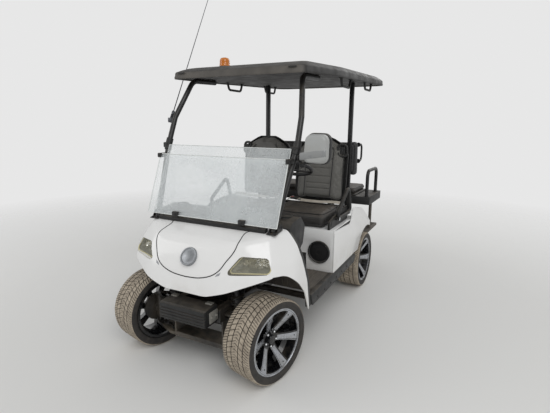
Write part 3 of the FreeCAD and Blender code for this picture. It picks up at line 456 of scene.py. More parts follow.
def lathe(bm, profile, steps, close=False, material=0):  # profile of (along, radius) points spun about X
    before = set(bm.faces)
    verts, edges = polyline(bm, [(along, 0, radius) for along, radius in profile])
    if close:
        edges.append(bm.edges.new((verts[-1], verts[0])))
    bmesh.ops.spin(bm, geom=verts + edges, cent=(0, 0, 0), axis=(1, 0, 0), angle=math.tau, steps=steps,
        use_merge=True)
    for f in set(bm.faces) - before:
        f.material_index = material


def block(bm, low, high, material=0):
    made = bmesh.ops.create_cube(bm, size=1.0)["verts"]
    size = Vector(high) - Vector(low)
    bmesh.ops.scale(bm, vec=size, verts=made)
    bmesh.ops.translate(bm, vec=(Vector(high) + Vector(low)) / 2, verts=made)
    paint(made, material)
    return made


def rodBetween(bm, start, end, radius, segments=16, material=0, tip=None):
    start, end = Vector(start), Vector(end)
    way = end - start
    far = radius if tip is None else tip
    made = bmesh.ops.create_cone(bm, cap_ends=True, segments=segments, radius1=radius, radius2=far,
        depth=way.length)["verts"]
    bmesh.ops.transform(bm, matrix=Matrix.Translation((start + end) / 2) @ turnedTo(way).to_4x4(), verts=made)
    paint(made, material)
    return made


# One ring drawn, then extruded from ring to ring
def loftRings(bm, rings, caps=True, material=0):
    own = bmesh.new()  # built apart, as each step would else walk through the whole mesh
    verts = [own.verts.new(p) for p in rings[0]]
    edges = [own.edges.new(pair) for pair in zip(verts, verts[1:] + verts[:1])]
    if caps:
        own.faces.new(verts)
    for ring in rings[1:]:
        out = bmesh.ops.extrude_edge_only(own, edges=edges)["geom"]
        fresh = {v for v in out if isinstance(v, bmesh.types.BMVert)}
        following = []
        for old, spot in zip(verts, ring):
            new = next(e.other_vert(old) for e in old.link_edges if e.other_vert(old) in fresh)
            new.co = spot
            following.append(new)
        edges = [own.edges.get(pair) for pair in zip(following, following[1:] + following[:1])]
        verts = following
    if caps:
        own.faces.new(verts)
    for f in own.faces:
        f.material_index = material
    carrier = bpy.data.meshes.new("loft")
    own.to_mesh(carrier)
    own.free()
    bm.from_mesh(carrier)
    bpy.data.meshes.remove(carrier)


# Wheels

wheelHeight = 0.253
kingpinHalf = 0.388
steeredBy = math.radians(-14.5)  # the front wheels stand turned, as in the photograph
wheelSpots = {}
for end, half, row in (("front", 0.440, -frontAxle / 1000), ("rear", 0.495, 0.577)):
    for label, side in (("left", 1), ("right", -1)):
        spin = Matrix.Scale(-1, 4, (1, 0, 0)) if side < 0 else Matrix.Identity(4)
        spot = Matrix.Translation((side * half, row, wheelHeight)) @ spin
        if end == "front":
            king = Matrix.Translation((side * kingpinHalf, row, 0.0))
            spot = king @ Matrix.Rotation(steeredBy, 4, "Z") @ king.inverted() @ spot
        wheelSpots[end + "_" + label] = spot

tyre = {"steps": 400, "half": 0.1075, "radius": 0.2525, "grooveDepth": 0.007, "grooveHalf": 0.0027,
        "grooves": (0.026, 0.062), "sipeEvery": 4, "sipeDepth": 0.004, "skew": 0.42, "treadBand": 0.014,
        "boreHalf": 0.09, "boreReach": 0.202, "leanBand": 0.03}


def treadRubber():
    look = {"sand": "c3b7a4", "rubber": "8b8073"}
    g = Graph("treadRubber", look["sand"], 0.9)
    sand = g.spread(g.noise(18.0, 8.0, 0.75), 0.3, 0.7)
    g.tint(sand, look["rubber"], look["sand"])
    g.bump(g.noise(160.0, 4.0), 0.5, 0.001)
    return g.material


def grooveRubber():
    g = Graph("grooveRubber", "2b2723", 0.9)
    g.tint(g.noise(30.0, 5.0), "211f1d", "4a443c")
    return g.material


tyreMaterials = [looks["tyre_rubber"], treadRubber(), grooveRubber()]


def tyreProfile():
    half, radius = tyre["half"], tyre["radius"]
    depth, g = tyre["grooveDepth"], tyre["grooveHalf"]
    right = [(0.0, radius)]
    for centre in tyre["grooves"]:
        right += [(centre - g, radius), (centre - g * 0.6, radius - depth)]
        right += [(centre + g * 0.6, radius - depth), (centre + g, radius)]
    sidewall = ((0.019, 0.0008), (0.009, 0.004), (0.003, 0.011), (0.0, 0.020), (-0.0005, 0.028),
                (0.001, 0.0285), (0.0005, 0.036))
    right += [(half - inset, radius - drop) for inset, drop in sidewall]
    right += [(half - 0.003, 0.2065), (half - 0.0065, 0.2006), (0.0945, 0.2006)]
    left = [(-x, r) for x, r in reversed(right[1:])]
    return left + right


def makeTyre(corner, spot):
    bm = bmesh.new()
    profile = tyreProfile()
    lathe(bm, profile, tyre["steps"], close=True)
    radius = tyre["radius"]
    for f in bm.faces:
        middle = f.calc_center_median()
        reach = math.hypot(middle.y, middle.z)
        tread = reach > radius - tyre["treadBand"]
        inGroove = any(abs(abs(middle.x) - c) < tyre["grooveHalf"] for c in tyre["grooves"])
        if tread:
            f.material_index = 1
        bore = abs(middle.x) < tyre["boreHalf"] and reach < tyre["boreReach"]
        if bore or (tread and inGroove and reach < radius - 0.002):
            f.material_index = 2
    step = math.tau / tyre["steps"]
    cutFaces = []
    for f in bm.faces:
        middle = f.calc_center_median()
        reach = math.hypot(middle.y, middle.z)
        index = int((math.atan2(middle.z, middle.y) % math.tau) / step)
        edge = abs(middle.x) > tyre["grooves"][1] + tyre["grooveHalf"] and reach > radius - 0.013
        rib = abs(middle.x) < tyre["grooves"][1] - tyre["grooveHalf"] and reach > radius - 0.001
        phase = 3 if middle.x > 0 else 7
        if (edge and index % tyre["sipeEvery"] == 0) or (rib and index % (tyre["sipeEvery"] * 2) == phase):
            cutFaces.append(f)
    inner = bmesh.ops.extrude_face_region(bm, geom=cutFaces)
    for v in [g for g in inner["geom"] if isinstance(g, bmesh.types.BMVert)]:
        reach = math.hypot(v.co.y, v.co.z)
        shrink = (reach - tyre["sipeDepth"]) / reach
        v.co.y *= shrink
        v.co.z *= shrink
    for f in inner["geom"]:
        if isinstance(f, bmesh.types.BMFace):
            f.material_index = 2
    for v in bm.verts:  # the sipes lean, and each half leans its own way
        reach = math.hypot(v.co.y, v.co.z)
        if reach > radius - tyre["leanBand"]:
            lean = tyre["skew"] * (abs(v.co.x) - 0.03) / radius
            turn = lean * min(1.0, (reach - radius + tyre["leanBand"]) / 0.012)
            c, s = math.cos(turn), math.sin(turn)
            v.co.y, v.co.z = v.co.y * c - v.co.z * s, v.co.y * s + v.co.z * c
    bmesh.ops.transform(bm, matrix=spot, verts=bm.verts)
    finishNode(bm, "tyre_" + corner, tyreMaterials, 32.0, weld=True)


rim = {"steps": 96, "lip": 0.0995, "edge": 0.2, "hubRadius": 0.062, "phase": 21.0, "spokes": 6}


def rimSilver():
    g = Graph("rimSilver", "b4b7bd", 0.3, 0.85)
    g.give("Roughness", g.spread(g.noise(60.0, 5.0), 0.3, 0.8, 0.22, 0.42))
    stains = g.spread(g.noise(20.0, 6.0, 0.7), 0.45, 0.8)
    g.tint(stains, "b9bcc2", "8b8982")
    g.bump(g.noise(700.0, 2.0, 0.5, (1, 0.1, 0.1)), 0.15, 0.0003)
    return g.material


def rimBlack():
    g = Graph("rimBlack", "0e0f12", 0.22, Coat_Weight=0.6, Coat_Roughness=0.08)
    g.tint(g.spread(g.noise(9.0, 6.0, 0.7), 0.5, 0.85) * 0.35, "0e0f12", dust)
    g.give("Roughness", g.spread(g.noise(9.0, 6.0, 0.7), 0.3, 0.85, 0.18, 0.5))
    return g.material


rimMaterials = [rimBlack(), rimSilver(), looks["bright_chrome"]]


def makeRim(corner, spot):
    bm = bmesh.new()
    lip, edge = rim["lip"], rim["edge"]
    barrel = [(-lip, 0.196), (-0.0955, 0.196), (-0.0955, 0.1837), (-0.066, 0.1837), (-0.050, 0.164),
        (0.010, 0.164), (0.030, 0.1837), (0.0955, 0.1837), (0.0955, edge), (lip - 0.001, edge),
        (lip, edge - 0.002), (lip, edge - 0.0075), (lip - 0.003, edge - 0.0095), (0.0905, edge - 0.018),
        (0.036, 0.1777), (0.012, 0.158), (-0.052, 0.158), (-0.067, 0.1777), (-lip, 0.1777)]
    lathe(bm, barrel, rim["steps"], close=True)
    for f in bm.faces:
        middle = f.calc_center_median()
        if middle.x > 0.092 and math.hypot(middle.y, middle.z) > edge - 0.0125:
            f.material_index = 1
    hub = [(0.008, 0.0185), (0.008, rim["hubRadius"]), (0.030, rim["hubRadius"]),
        (0.040, rim["hubRadius"] - 0.010), (0.034, 0.040), (0.030, 0.030), (0.030, 0.0185)]
    lathe(bm, hub, 48, close=True)
    cap = [(0.030, 0.0001), (0.030, 0.029), (0.050, 0.029), (0.056, 0.026), (0.058, 0.020), (0.0585, 0.0001)]
    lathe(bm, cap, 32)
    for i in range(5):  # nuts
        angle = math.radians(36 + 72 * i)
        y, z = 0.046 * math.sin(angle), 0.046 * math.cos(angle)
        rodBetween(bm, (0.030, y, z), (0.047, y, z), 0.009, 6, 2, 0.008)
        rodBetween(bm, (0.047, y, z), (0.050, y, z), 0.006, 12, 2, 0.004)
    # Radius, width, lower and upper edge of a spoke, then radius, width and height of its machined face
    stations = ((0.046, 0.046, 0.014, 0.036), (0.075, 0.042, 0.018, 0.046), (0.110, 0.046, 0.028, 0.062),
                (0.150, 0.056, 0.044, 0.080), (0.178, 0.068, 0.058, 0.091), (0.1875, 0.076, 0.066, 0.0935))
    faceRows = ((0.060, 0.031, 0.0415), (0.075, 0.031, 0.0475), (0.110, 0.035, 0.0635),
                (0.150, 0.044, 0.0815), (0.178, 0.054, 0.0925), (0.1905, 0.060, 0.0965))
    faceThick, faceShift = 0.004, 0.004
    for i in range(rim["spokes"]):
        turn = Matrix.Rotation(math.radians(rim["phase"] + 360 / rim["spokes"] * i), 4, "X")
        rings = []
        for radius, width, low, high in stations:
            corners = ((low, -width / 2), (low, width / 2), (high, width / 2), (high, -width / 2))
            rings.append([turn @ Vector((x, y, radius)) for x, y in corners])
        loftRings(bm, rings)
        # The broad machined face and, past a slot, a thin bright edge
        for first, last in ((-0.5, 0.34), (0.42, 0.5)):
            rings = []
            for radius, width, high in faceRows:
                y0, y1 = width * first + faceShift, width * last + faceShift
                corners = ((high, y0), (high, y1), (high - faceThick, y1), (high - faceThick, y0))
                rings.append([turn @ Vector((x, y, radius)) for x, y in corners])
            loftRings(bm, rings, material=1)
        screw = rodBetween(bm, (0.084, -0.002, 0.166), (0.0905, -0.002, 0.166), 0.0035, 12)
        bmesh.ops.transform(bm, matrix=turn, verts=screw)
    rodBetween(bm, (0.060, 0.1745, 0.0), (0.075, 0.150, 0.0), 0.004, 10)
    bmesh.ops.transform(bm, matrix=spot, verts=bm.verts)
    finishNode(bm, "rim_" + corner, rimMaterials, 32.0)


for corner, spot in wheelSpots.items():
    makeTyre(corner, spot)
    makeRim(corner, spot)
print("wheels made")


# Shared steps for the body and cabin

def mirrorX(points):
    return [Vector((-p.x, p.y, p.z)) for p in points]


def bentPath(corners, bend, closed=False, steps=6):
    path = []
    for i, here in enumerate(corners):
        if not closed and i in (0, len(corners) - 1):
            path.append(here.copy())
            continue
        back = (corners[i - 1] - here).normalized()
        ahead = (corners[(i + 1) % len(corners)] - here).normalized()
        half = back.angle(ahead) / 2
        room = min((corners[i - 1] - here).length, (corners[(i + 1) % len(corners)] - here).length)
        reach = min(bend / math.tan(half), 0.49 * room)
        radius = reach * math.tan(half)
        bisector = (back + ahead).normalized()
        centre = here + bisector * (radius / math.sin(half))
        first, last = here + back * reach - centre, here + ahead * reach - centre
        turn = first.angle(last)
        for k in range(steps + 1):
            share = k / steps
            arm = (first * math.sin((1 - share) * turn) + last * math.sin(share * turn)) / math.sin(turn)
            path.append(centre + arm)
    return path


def roundBar(bm, corners, radius, bend=0.0, closed=False, sides=16, material=0, steps=6):
    path = [Vector(c) for c in corners]
    if bend:
        path = bentPath(path, bend, closed, steps)
    count = len(path)
    runs = [(path[(i + 1) % count] - path[i]).normalized() for i in range(count if closed else count - 1)]
    other = Vector((0.13, 0.31, 0.94)) if abs(runs[0].z) < 0.9 else Vector((1, 0, 0))
    start = runs[0].cross(other).normalized()
    angles = [math.tau * k / sides for k in range(sides)]
    rings = []
    for i, place in enumerate(path):
        arriving = runs[i - 1] if (closed or i > 0) else runs[0]
        leaving = runs[i] if i < len(runs) else runs[-1]
        mitre = (arriving + leaving).normalized()
        if not rings:
            side = start.cross(runs[0])
            ring = [place + (start * math.cos(a) + side * math.sin(a)) * radius for a in angles]
            way = runs[0]
        else:
            ring, way = rings[-1], runs[i - 1]
        rings.append([p + way * ((place - p).dot(mitre) / way.dot(mitre)) for p in ring])
    if closed:
        rings.append(rings[0])
    loftRings(bm, rings, caps=not closed, material=material)


def softened(name, width):  # a CAD piece's own shape with eased edges
    bm = bmesh.new()
    bm.from_mesh(nodes[name].data)
    for f in bm.faces:
        f.material_index = 0
    bmesh.ops.remove_doubles(bm, verts=bm.verts, dist=0.0001)
    bmesh.ops.dissolve_limit(bm, angle_limit=math.radians(1.5), verts=bm.verts, edges=bm.edges)
    bmesh.ops.remove_doubles(bm, verts=bm.verts, dist=0.00005)
    bmesh.ops.recalc_face_normals(bm, faces=bm.faces)
    sharp = [e for e in bm.edges if len(e.link_faces) == 2 and e.calc_face_angle(0) > math.radians(30)]
    bmesh.ops.bevel(bm, geom=sharp, offset=width, segments=2, profile=0.5, affect="EDGES", material=-1,
                    clamp_overlap=True)
    finishNode(bm, name, [slotOf[name]], 32.0)


def settle(obj):  # the modifiers' result becomes the mesh
    graph = bpy.context.evaluated_depsgraph_get()
    baked = bpy.data.meshes.new_from_object(obj.evaluated_get(graph), depsgraph=graph)
    obj.modifiers.clear()
    old = obj.data
    obj.data = baked
    bpy.data.meshes.remove(old)


def applied(obj, kind, **settings):
    made = obj.modifiers.new(kind.lower(), kind)
    for key, value in settings.items():
        setattr(made, key, value)
    settle(obj)


def looseObject(bm, name, materials=()):
    return newObject(meshFrom(bm, name), name, materials)


def dropObject(obj):
    mesh = obj.data
    bpy.data.objects.remove(obj)
    bpy.data.meshes.remove(mesh)


def roundedOutline(points, steps=5):  # (u, v) or (u, v, radius) corners as a fine outline
    corners = [Vector((p[0], p[1], 0)) for p in points]
    result = []
    for i, p in enumerate(points):
        if len(p) < 3 or p[2] <= 0:
            result.append(corners[i])
            continue
        three = [corners[i - 1], corners[i], corners[(i + 1) % len(points)]]
        result += bentPath(three, p[2], False, steps)[1:-1]
    return [(v.x, v.y) for v in result]


def prismAlong(bm, points, plane, low, high, material=0):  # an outline in mm pushed along the plane's normal
    rings = [[at(w, u, v) if plane == "yz" else at(u, w, v) for u, v in points] for w in (low, high)]
    loftRings(bm, rings, material=material)


# Nose cowl

hood = {"line": ((60.0, 864.0), (240.0, 890.0)), "skin": 0.006, "voxel": 0.0085,
    "levels": ((330, -232, 600), (445, -222, 600), (560, -206, 600), (640, -183, 594), (715, -152, 586),
    (790, -110, 562), (860, -62, 530), (920, -17, 500), (980, 30, 470))}


def hoodZ(distance):
    (y0, z0), (y1, z1) = hood["line"]
    return z0 + (distance - y0) * (z1 - z0) / (y1 - y0)


def noseBlock():
    bm = bmesh.new()
    rings = []
    for z, front, side in hood["levels"]:
        right = [(285, front, 320), (side - 95, front + 95, 150), (side, front + 250, 150), (side, 420)]
        left = [(-p[0],) + tuple(p[1:]) for p in reversed(right)]
        rings.append([at(u, v, z) for u, v in roundedOutline(left + right, 7)])
    loftRings(bm, rings)
    nose = looseObject(bm, "noseBlock")
    bm = bmesh.new()
    top = [(-300, 100), (-300, 600), (-180, 690, 60), (-95, 812, 150), (60, hoodZ(60), 300),
        (420, hoodZ(420)), (420, 100)]
    prismAlong(bm, roundedOutline(top, 8), "yz", -900, 900)
    tool = looseObject(bm, "noseTop")
    applied(nose, "BOOLEAN", operation="INTERSECT", object=tool, solver="EXACT")
    dropObject(tool)
    applied(nose, "REMESH", mode="VOXEL", voxel_size=hood["voxel"])
    applied(nose, "SMOOTH", factor=0.5, iterations=26)
    return nose


def cutterFor(outlines):  # prisms in one mesh whose faces take the second material slot
    bm = bmesh.new()
    for points, plane, low, high in outlines:
        prismAlong(bm, roundedOutline(points, 8), plane, low, high, 1)
    return bm


lampCorners = [(262, 660, 15), (329, 758, 25), (470, 750, 30), (505, 668, 20)]


def lampOutline(side, grow):
    middleX, middleZ = 392, 709
    grown = []
    for x, z, r in lampCorners:
        x += grow if x > middleX else -grow
        z += grow if z > middleZ else -grow
        grown.append((side * x, z, r + max(grow, 0)))
    return grown if side > 0 else list(reversed(grown))


def makeCowl():
    nose = noseBlock()
    spare = bpy.data.materials.new("cutFaces")
    for material in (looks["body_white"], spare):
        nose.data.materials.append(material)
    behind = [(150, 1100), (150, 900), (158, 730, 150), (226, 546, 200), (274, 330), (274, 200),
        (500, 200), (500, 1100)]
    below = [(-800, 100), (-800, 652), (-520, 652), (-284, 564, 200), (-150, 522, 200), (150, 522, 200),
        (284, 564, 200), (520, 652), (800, 652), (800, 100)]
    arches = [(-62, 100), (-62, 652), (10, 650, 80), (110, 570, 120), (190, 490, 120), (262, 340), (262, 100)]
    shell = bpy.data.objects.new("cowlShell", nose.data.copy())
    bpy.context.scene.collection.objects.link(shell)
    for outlines in ([(behind, "yz", -900, 900)], [(below, "xz", -400, -62)], [(arches, "yz", -900, 900)],
                     [(lampOutline(1, 0.5), "xz", -300, 40)], [(lampOutline(-1, 0.5), "xz", -300, 40)]):
        tool = looseObject(cutterFor(outlines), "cutter", (looks["body_white"], spare))
        applied(shell, "BOOLEAN", operation="DIFFERENCE", object=tool, solver="EXACT")
        dropObject(tool)
    bm = bmesh.new()
    bm.from_mesh(shell.data)
    dropObject(shell)
    bmesh.ops.delete(bm, geom=[f for f in bm.faces if f.material_index == 1], context="FACES")
    for f in bm.faces:
        f.material_index = 0
    low = [f for f in bm.faces if f.calc_center_median().z < 0.345 or f.calc_center_median().y > 0.0]
    bmesh.ops.delete(bm, geom=low, context="FACES")
    bmesh.ops.recalc_face_normals(bm, faces=bm.faces)
    bmesh.ops.solidify(bm, geom=bm.faces[:], thickness=hood["skin"])
    finishNode(bm, "cowl", ["body_white"])
    return nose


noseSolid = makeCowl()
print("cowl made")


def makeHeadlamps():
    tool = bpy.data.objects.new("deeper", noseSolid.data.copy())
    tool.location = (0, 0.010, -0.003)
    bpy.context.scene.collection.objects.link(tool)
    bpy.context.view_layer.update()
    lensBm = bmesh.new()
    for side in (1, -1):
        window = looseObject(cutterFor([(lampOutline(side, -1.0), "xz", -300, 40)]), "lampWindow")
        applied(window, "BOOLEAN", operation="INTERSECT", object=noseSolid, solver="EXACT")
        applied(window, "BOOLEAN", operation="DIFFERENCE", object=tool, solver="EXACT")
        lensBm.from_mesh(window.data)
        dropObject(window)
    for f in lensBm.faces:
        f.material_index = 0
    finishNode(lensBm, "headlamps", ["lamp_lens"], 35.0)
    dropObject(tool)
    bm = bmesh.new()
    for side in (1, -1):
        # The tray behind the lens and two round reflectors
        tray = roundedOutline(lampOutline(side, -2.0), 5)
        small = roundedOutline(lampOutline(side, -26.0), 5)
        slope = lambda u, v: -148 + (abs(u) - 262) * 0.33 + (v - 660) * 0.55
        rings = [[at(u, slope(u, v) + inset, v) for u, v in ring] for ring, inset in ((tray, 8), (small, 62))]
        loftRings(bm, rings, caps=False)
        back = bm.faces.new([bm.verts.new(p) for p in rings[1]])
        back.material_index = 2
        for x, z, size in ((330, 704, 0.034), (425, 706, 0.038)):
            where = at(side * x, slope(x, z) + 30, z)
            look = Vector((side * 0.32, -0.9, 0.12)).normalized()
            turn = look.to_track_quat("X", "Z").to_matrix().to_4x4()
            before = set(bm.verts)
            bowl = [(0.0, size), (-0.006, size * 0.96), (-0.018, size * 0.72), (-0.026, size * 0.4),
                (-0.029, 0.002)]
            lathe(bm, bowl, 24, material=2)
            fresh = [v for v in bm.verts if v not in before]
            bmesh.ops.transform(bm, matrix=Matrix.Translation(where) @ turn, verts=fresh)
            rodBetween(bm, where - look * 0.026, where - look * 0.004, 0.006, 12, 1, 0.004)
    for side in (1, -1):
        edge = [at(u, slope(u, v) + 2, v) for u, v in roundedOutline(lampOutline(side, -1.5), 5)]
        roundBar(bm, edge, 0.0035, closed=True, sides=8, material=3)
    materials = [satin("lampTray", "5e615c", 0.35, 0.25, 0.45), tinted("bulbGlass", "e8e2cf", 0.6),
                 polished("lampChrome", "d2d2cc", 0.1), satin("lampBorder", "d9d0a0", 0.3, 0.25, 0.45)]
    finishPiece(bm, "lampReflectors", materials, weld=True)


makeHeadlamps()
print("headlamps made")


def surfacePath(points, lift):  # the nose's nearest spots to points in mm, lifted along its normals
    tree = bvhtree.BVHTree.FromObject(noseSolid, bpy.context.evaluated_depsgraph_get())
    out = []
    for p in points:
        spot, normal = tree.find_nearest(at(*p))[:2]
        out.append(spot + normal * lift)
    return out


def smoothLine(points, steps=6):  # a Catmull-Rom line through the points
    pts = [points[0]] + list(points) + [points[-1]]
    out = []
    for i in range(1, len(pts) - 2):
        a, b, c, d = pts[i - 1:i + 3]
        for k in range(steps):
            t = k / steps
            curve = (2 * a - 5 * b + 4 * c - d) * t * t + (3 * b - a - 3 * c + d) * t ** 3
            out.append(0.5 * (2 * b + (c - a) * t + curve))
    out.append(pts[-2])
    return out


def makeHoodSeamAndShadow():
    seam = [(296, 62, 871), (276, 20, 866), (288, -60, 812), (283, -110, 775), (254, -142, 727),
        (222, -166, 676), (170, -181, 640), (92, -189, 618), (0, -193, 612)]
    path = smoothLine([Vector(p) for p in seam], 7)
    left = surfacePath([tuple(p) for p in path], -0.0009)
    whole = left + mirrorX(reversed(left[:-1]))
    bm = bmesh.new()
    roundBar(bm, whole, 0.0034, sides=6)
    # Grey wedges at the seam's lower ends: painted shadow in the gap between the hood panel and the fender
    for side in (1, -1):
        shadowWedge = [(side * 236, -165, 668), (side * 214, -171, 655), (side * 205, -174, 640),
            (side * 230, -171, 650)]
        loftRings(bm, [surfacePath(shadowWedge, 0.0008), surfacePath(shadowWedge, -0.0012)], material=1)
    materials = [satin("hoodSeam", "17171a", 0.7, 0.6, 0.8), satin("hoodPaintedShadow", "9a9ca0", 0.35, 0.28, 0.45)]
    finishPiece(bm, "hoodSeam", materials)


makeHoodSeamAndShadow()
dropObject(noseSolid)


# Roof

roofSize = {"half": 565.0, "frontHalf": 500.0, "front": 350.0, "rear": 2250.0, "frontZ": 1788.0,
    "rearZ": 1866.0, "lift": 97.0}


def roofZ(distance):
    share = (distance - roofSize["front"]) / (roofSize["rear"] - roofSize["front"])
    return roofSize["frontZ"] + share * (roofSize["rearZ"] - roofSize["frontZ"])


def roofRing(sideInset, endInset, lift, corner=45.0):
    y0, y1 = roofSize["front"] + endInset, roofSize["rear"] - endInset
    front, side = roofSize["frontHalf"] - sideInset, roofSize["half"] - sideInset
    right = [(front, y0, corner), (side, y0 + 520, 700), (side, y1, 110)]
    left = [(-p[0],) + tuple(p[1:]) for p in reversed(right)]
    return [at(u, v, roofZ(v) + lift) for u, v in roundedOutline(right + left, 9)]


def makeRoof():
    bm = bmesh.new()
    # Side inset, end inset and lift, from the underside's middle out over the lip and up to the crown
    stations = [(300, 500, 12), (60, 60, 12), (14, 14, 10), (9, 9, 3), (6, 6, 0.5), (2, 2, 1),
        (0.5, 0.5, 5), (0.5, 1, 14), (3, 4, 22), (4, 6, 40), (7, 12, 47), (12, 22, 51), (24, 52, 62),
        (42, 104, 76), (62, 150, 83.5), (100, 215, 89), (150, 280, 93.5), (200, 340, 96.5),
        (300, 500, 96.8)]
    loftRings(bm, [roofRing(*row) for row in stations])
    # The dark slots at the front corners
    for side in (1, -1):
        block(bm, at(side * 420 - 26, 348, 1822), at(side * 420 + 26, 352.5, 1830), 1)
    finishNode(bm, "roof", ["roof_plastic", "trim_plastic"], 50.0)


makeRoof()
print("roof made")


# Round bars of the roof, deck and seats

def strutPath():
    under = 12.0 - 18.0 - 0.8
    return [at(437, 72, 850), at(492, 275, 1340), at(486, 350, 1530), at(428, 490, roofZ(490) + under),
        at(428, 760, roofZ(760) + under)]


def makeStruts():
    bm = bmesh.new()
    foot, knee = strutPath()[0], strutPath()[1]
    lean = (knee - foot).normalized()
    for side in (1, -1):
        path = strutPath()
        path[0] = foot + lean * (0.018 / 0.92)
        path = path if side > 0 else mirrorX(path)
        roundBar(bm, path, 0.018, 0.075, sides=20, steps=8)
        # The folded foot bracket and its bolts
        x = side * 443
        plate = [(41, hoodZ(41) + 0.4), (131, hoodZ(131) + 0.4), (131, hoodZ(131) + 7), (41, hoodZ(41) + 7)]
        prismAlong(bm, plate, "yz", x - 31, x + 31)
        ear = [(60, hoodZ(60) + 4), (128, hoodZ(128) + 4), (126, hoodZ(126) + 40, 12),
            (88, hoodZ(88) + 44, 12)]
        for shift in (-27, 27):
            prismAlong(bm, roundedOutline(ear), "yz", x + shift - 2.2, x + shift + 2.2)
        for d in (53, 119):
            for shift in (-17, 17):
                spot = at(x + shift, d, hoodZ(d) + 7)
                rodBetween(bm, spot, spot + Vector((0, 0, 0.005)), 0.0075, 6, 1)
                rodBetween(bm, spot, spot + Vector((0, 0, 0.0015)), 0.011, 16, 1)
        spot = at(x, 100, hoodZ(100) + 26)
        rodBetween(bm, spot - Vector((0.031, 0, 0)), spot + Vector((0.031, 0, 0)), 0.006, 12, 1)
    finishNode(bm, "front_struts", ["frame_black", "aerial_steel"])


def makeHoops():
    bm = bmesh.new()
    for side in (1, -1):
        hoop = [at(side * 552, d, z) for d, z in ((1795, 826), (1795, 1065), (2145, 1065), (2145, 826))]
        roundBar(bm, hoop, 0.016, 0.06, sides=18, steps=8)
        for d in (1795, 2145):  # foot flanges with screws
            spot = at(side * 552, d, 825.3)
            rodBetween(bm, spot, spot + Vector((0, 0, 0.004)), 0.028, 24)
            for turn in (45, 225):
                away = Matrix.Rotation(math.radians(turn), 3, "Z") @ Vector((0.022, 0, 0.004))
                rodBetween(bm, spot + away, spot + away + Vector((0, 0, 0.003)), 0.004, 10, 1)
    finishNode(bm, "side_hoops", ["frame_black", "aerial_steel"])
    bm = bmesh.new()
    for side in (1, -1):
        x = side * 470
        grab = [at(x, d, z) for d, z in ((1726, 1310), (1840, 1310), (1840, 1160), (1736, 1160))]
        roundBar(bm, grab, 0.009, 0.045, sides=14, steps=8)
        for d, z in ((1722.5, 1310), (1734, 1160)):
            rodBetween(bm, at(x, d, z), at(x, d + 5, z), 0.020, 20)
    finishNode(bm, "grab_hoops", ["frame_black"])


def makeRoofHandles():
    bm = bmesh.new()
    seatLift, reach, gripReach, drop = 11.4, 118, 92, 50
    for x, d in ((500, 1830), (-500, 1830), (500, 1165), (-500, 1165)):
        feet = [at(x, d + s, roofZ(d + s) + seatLift) for s in (-reach, reach)]
        grip = [at(x, d + s, roofZ(d) - drop) for s in (-gripReach, gripReach)]
        roundBar(bm, [feet[0], grip[0], grip[1], feet[1]], 0.0095, 0.03, sides=14, steps=7)
        for spot in feet:
            rodBetween(bm, spot - Vector((0, 0, 0.004)), spot, 0.017, 20)
    finishNode(bm, "roof_handles", ["trim_plastic"])


makeStruts()
makeHoops()
makeRoofHandles()
print("bars made")

# Padded seats

clothFrames = 20
pipeRadius = 0.0032


def puff(bm, name, voxel, cap, pressure):  # remeshed, blown up by a short cloth run, its movement capped
    obj = looseObject(bm, name)
    applied(obj, "REMESH", mode="VOXEL", voxel_size=voxel)
    applied(obj, "SMOOTH", factor=0.5, iterations=4)
    start = [v.co.copy() for v in obj.data.vertices]
    cloth = obj.modifiers.new("cloth", "CLOTH")
    fabric = {"quality": 4, "mass": 0.3, "use_pressure": True, "uniform_pressure_force": pressure,
              "tension_stiffness": 25.0, "compression_stiffness": 25.0, "bending_stiffness": 2.0}
    for key, value in fabric.items():
        setattr(cloth.settings, key, value)
    cloth.settings.effector_weights.gravity = 0.0
    cloth.collision_settings.use_collision = False
    cloth.point_cache.frame_start = 1
    cloth.point_cache.frame_end = clothFrames
    scene = bpy.context.scene
    for step in range(1, clothFrames + 1):
        scene.frame_set(step)
    settle(obj)
    for v, first in zip(obj.data.vertices, start):
        moved = v.co - first
        if moved.length > cap:
            v.co = first + moved * (cap / moved.length)
    scene.frame_set(1)
    return obj


def finishPad(obj, node, materials, crease, pipes):  # a soft piece with pressed seams and piping
    applied(obj, "SUBSURF", levels=1, render_levels=1)
    normals = [v.normal.copy() for v in obj.data.vertices]
    for v, normal in zip(obj.data.vertices, normals):
        v.co += crease(v.co, normal)
    tree = bvhtree.BVHTree.FromObject(obj, bpy.context.evaluated_depsgraph_get())
    bm = bmesh.new()
    bm.from_mesh(obj.data)
    dropObject(obj)
    paint(bm.verts, 0)
    for path, closed in pipes:
        onto = []
        for p in path:
            spot, normal = tree.find_nearest(p)[:2]
            onto.append(spot + normal * (pipeRadius * 0.35))
        roundBar(bm, onto, pipeRadius, closed=closed, sides=7, material=1)
    finishNode(bm, node, materials, 60.0)


def dense(points, step=0.012):
    out = []
    for a, b in zip(points, points[1:]):
        count = max(1, int((b - a).length / step))
        out += [a.lerp(b, k / count) for k in range(count)]
    return out + [points[-1]]


seat = {"middle": 263.0, "low": 862.0, "top": 1380.0, "channels": (1126, 1058, 999, 956), "panel": 107.0,
    "channelDepth": 5.0}
piping = satin("seatPiping", "1e1e20", 0.5, 0.42, 0.6, 50.0)


def backRear(z):  # the front seat back's rear face
    return 1330 + (z - 850) * 45 / 485


def backHalf(z):
    table = [(862, 208), (900, 220), (1240, 222), (1285, 216), (1312, 196), (1330, 168), (1350, 132),
        (1368, 104), (1380, 70)]
    for (z0, w0), (z1, w1) in zip(table, table[1:]):
        if z <= z1:
            return w0 + (w1 - w0) * max(0.0, (z - z0) / (z1 - z0))
    return table[-1][1]


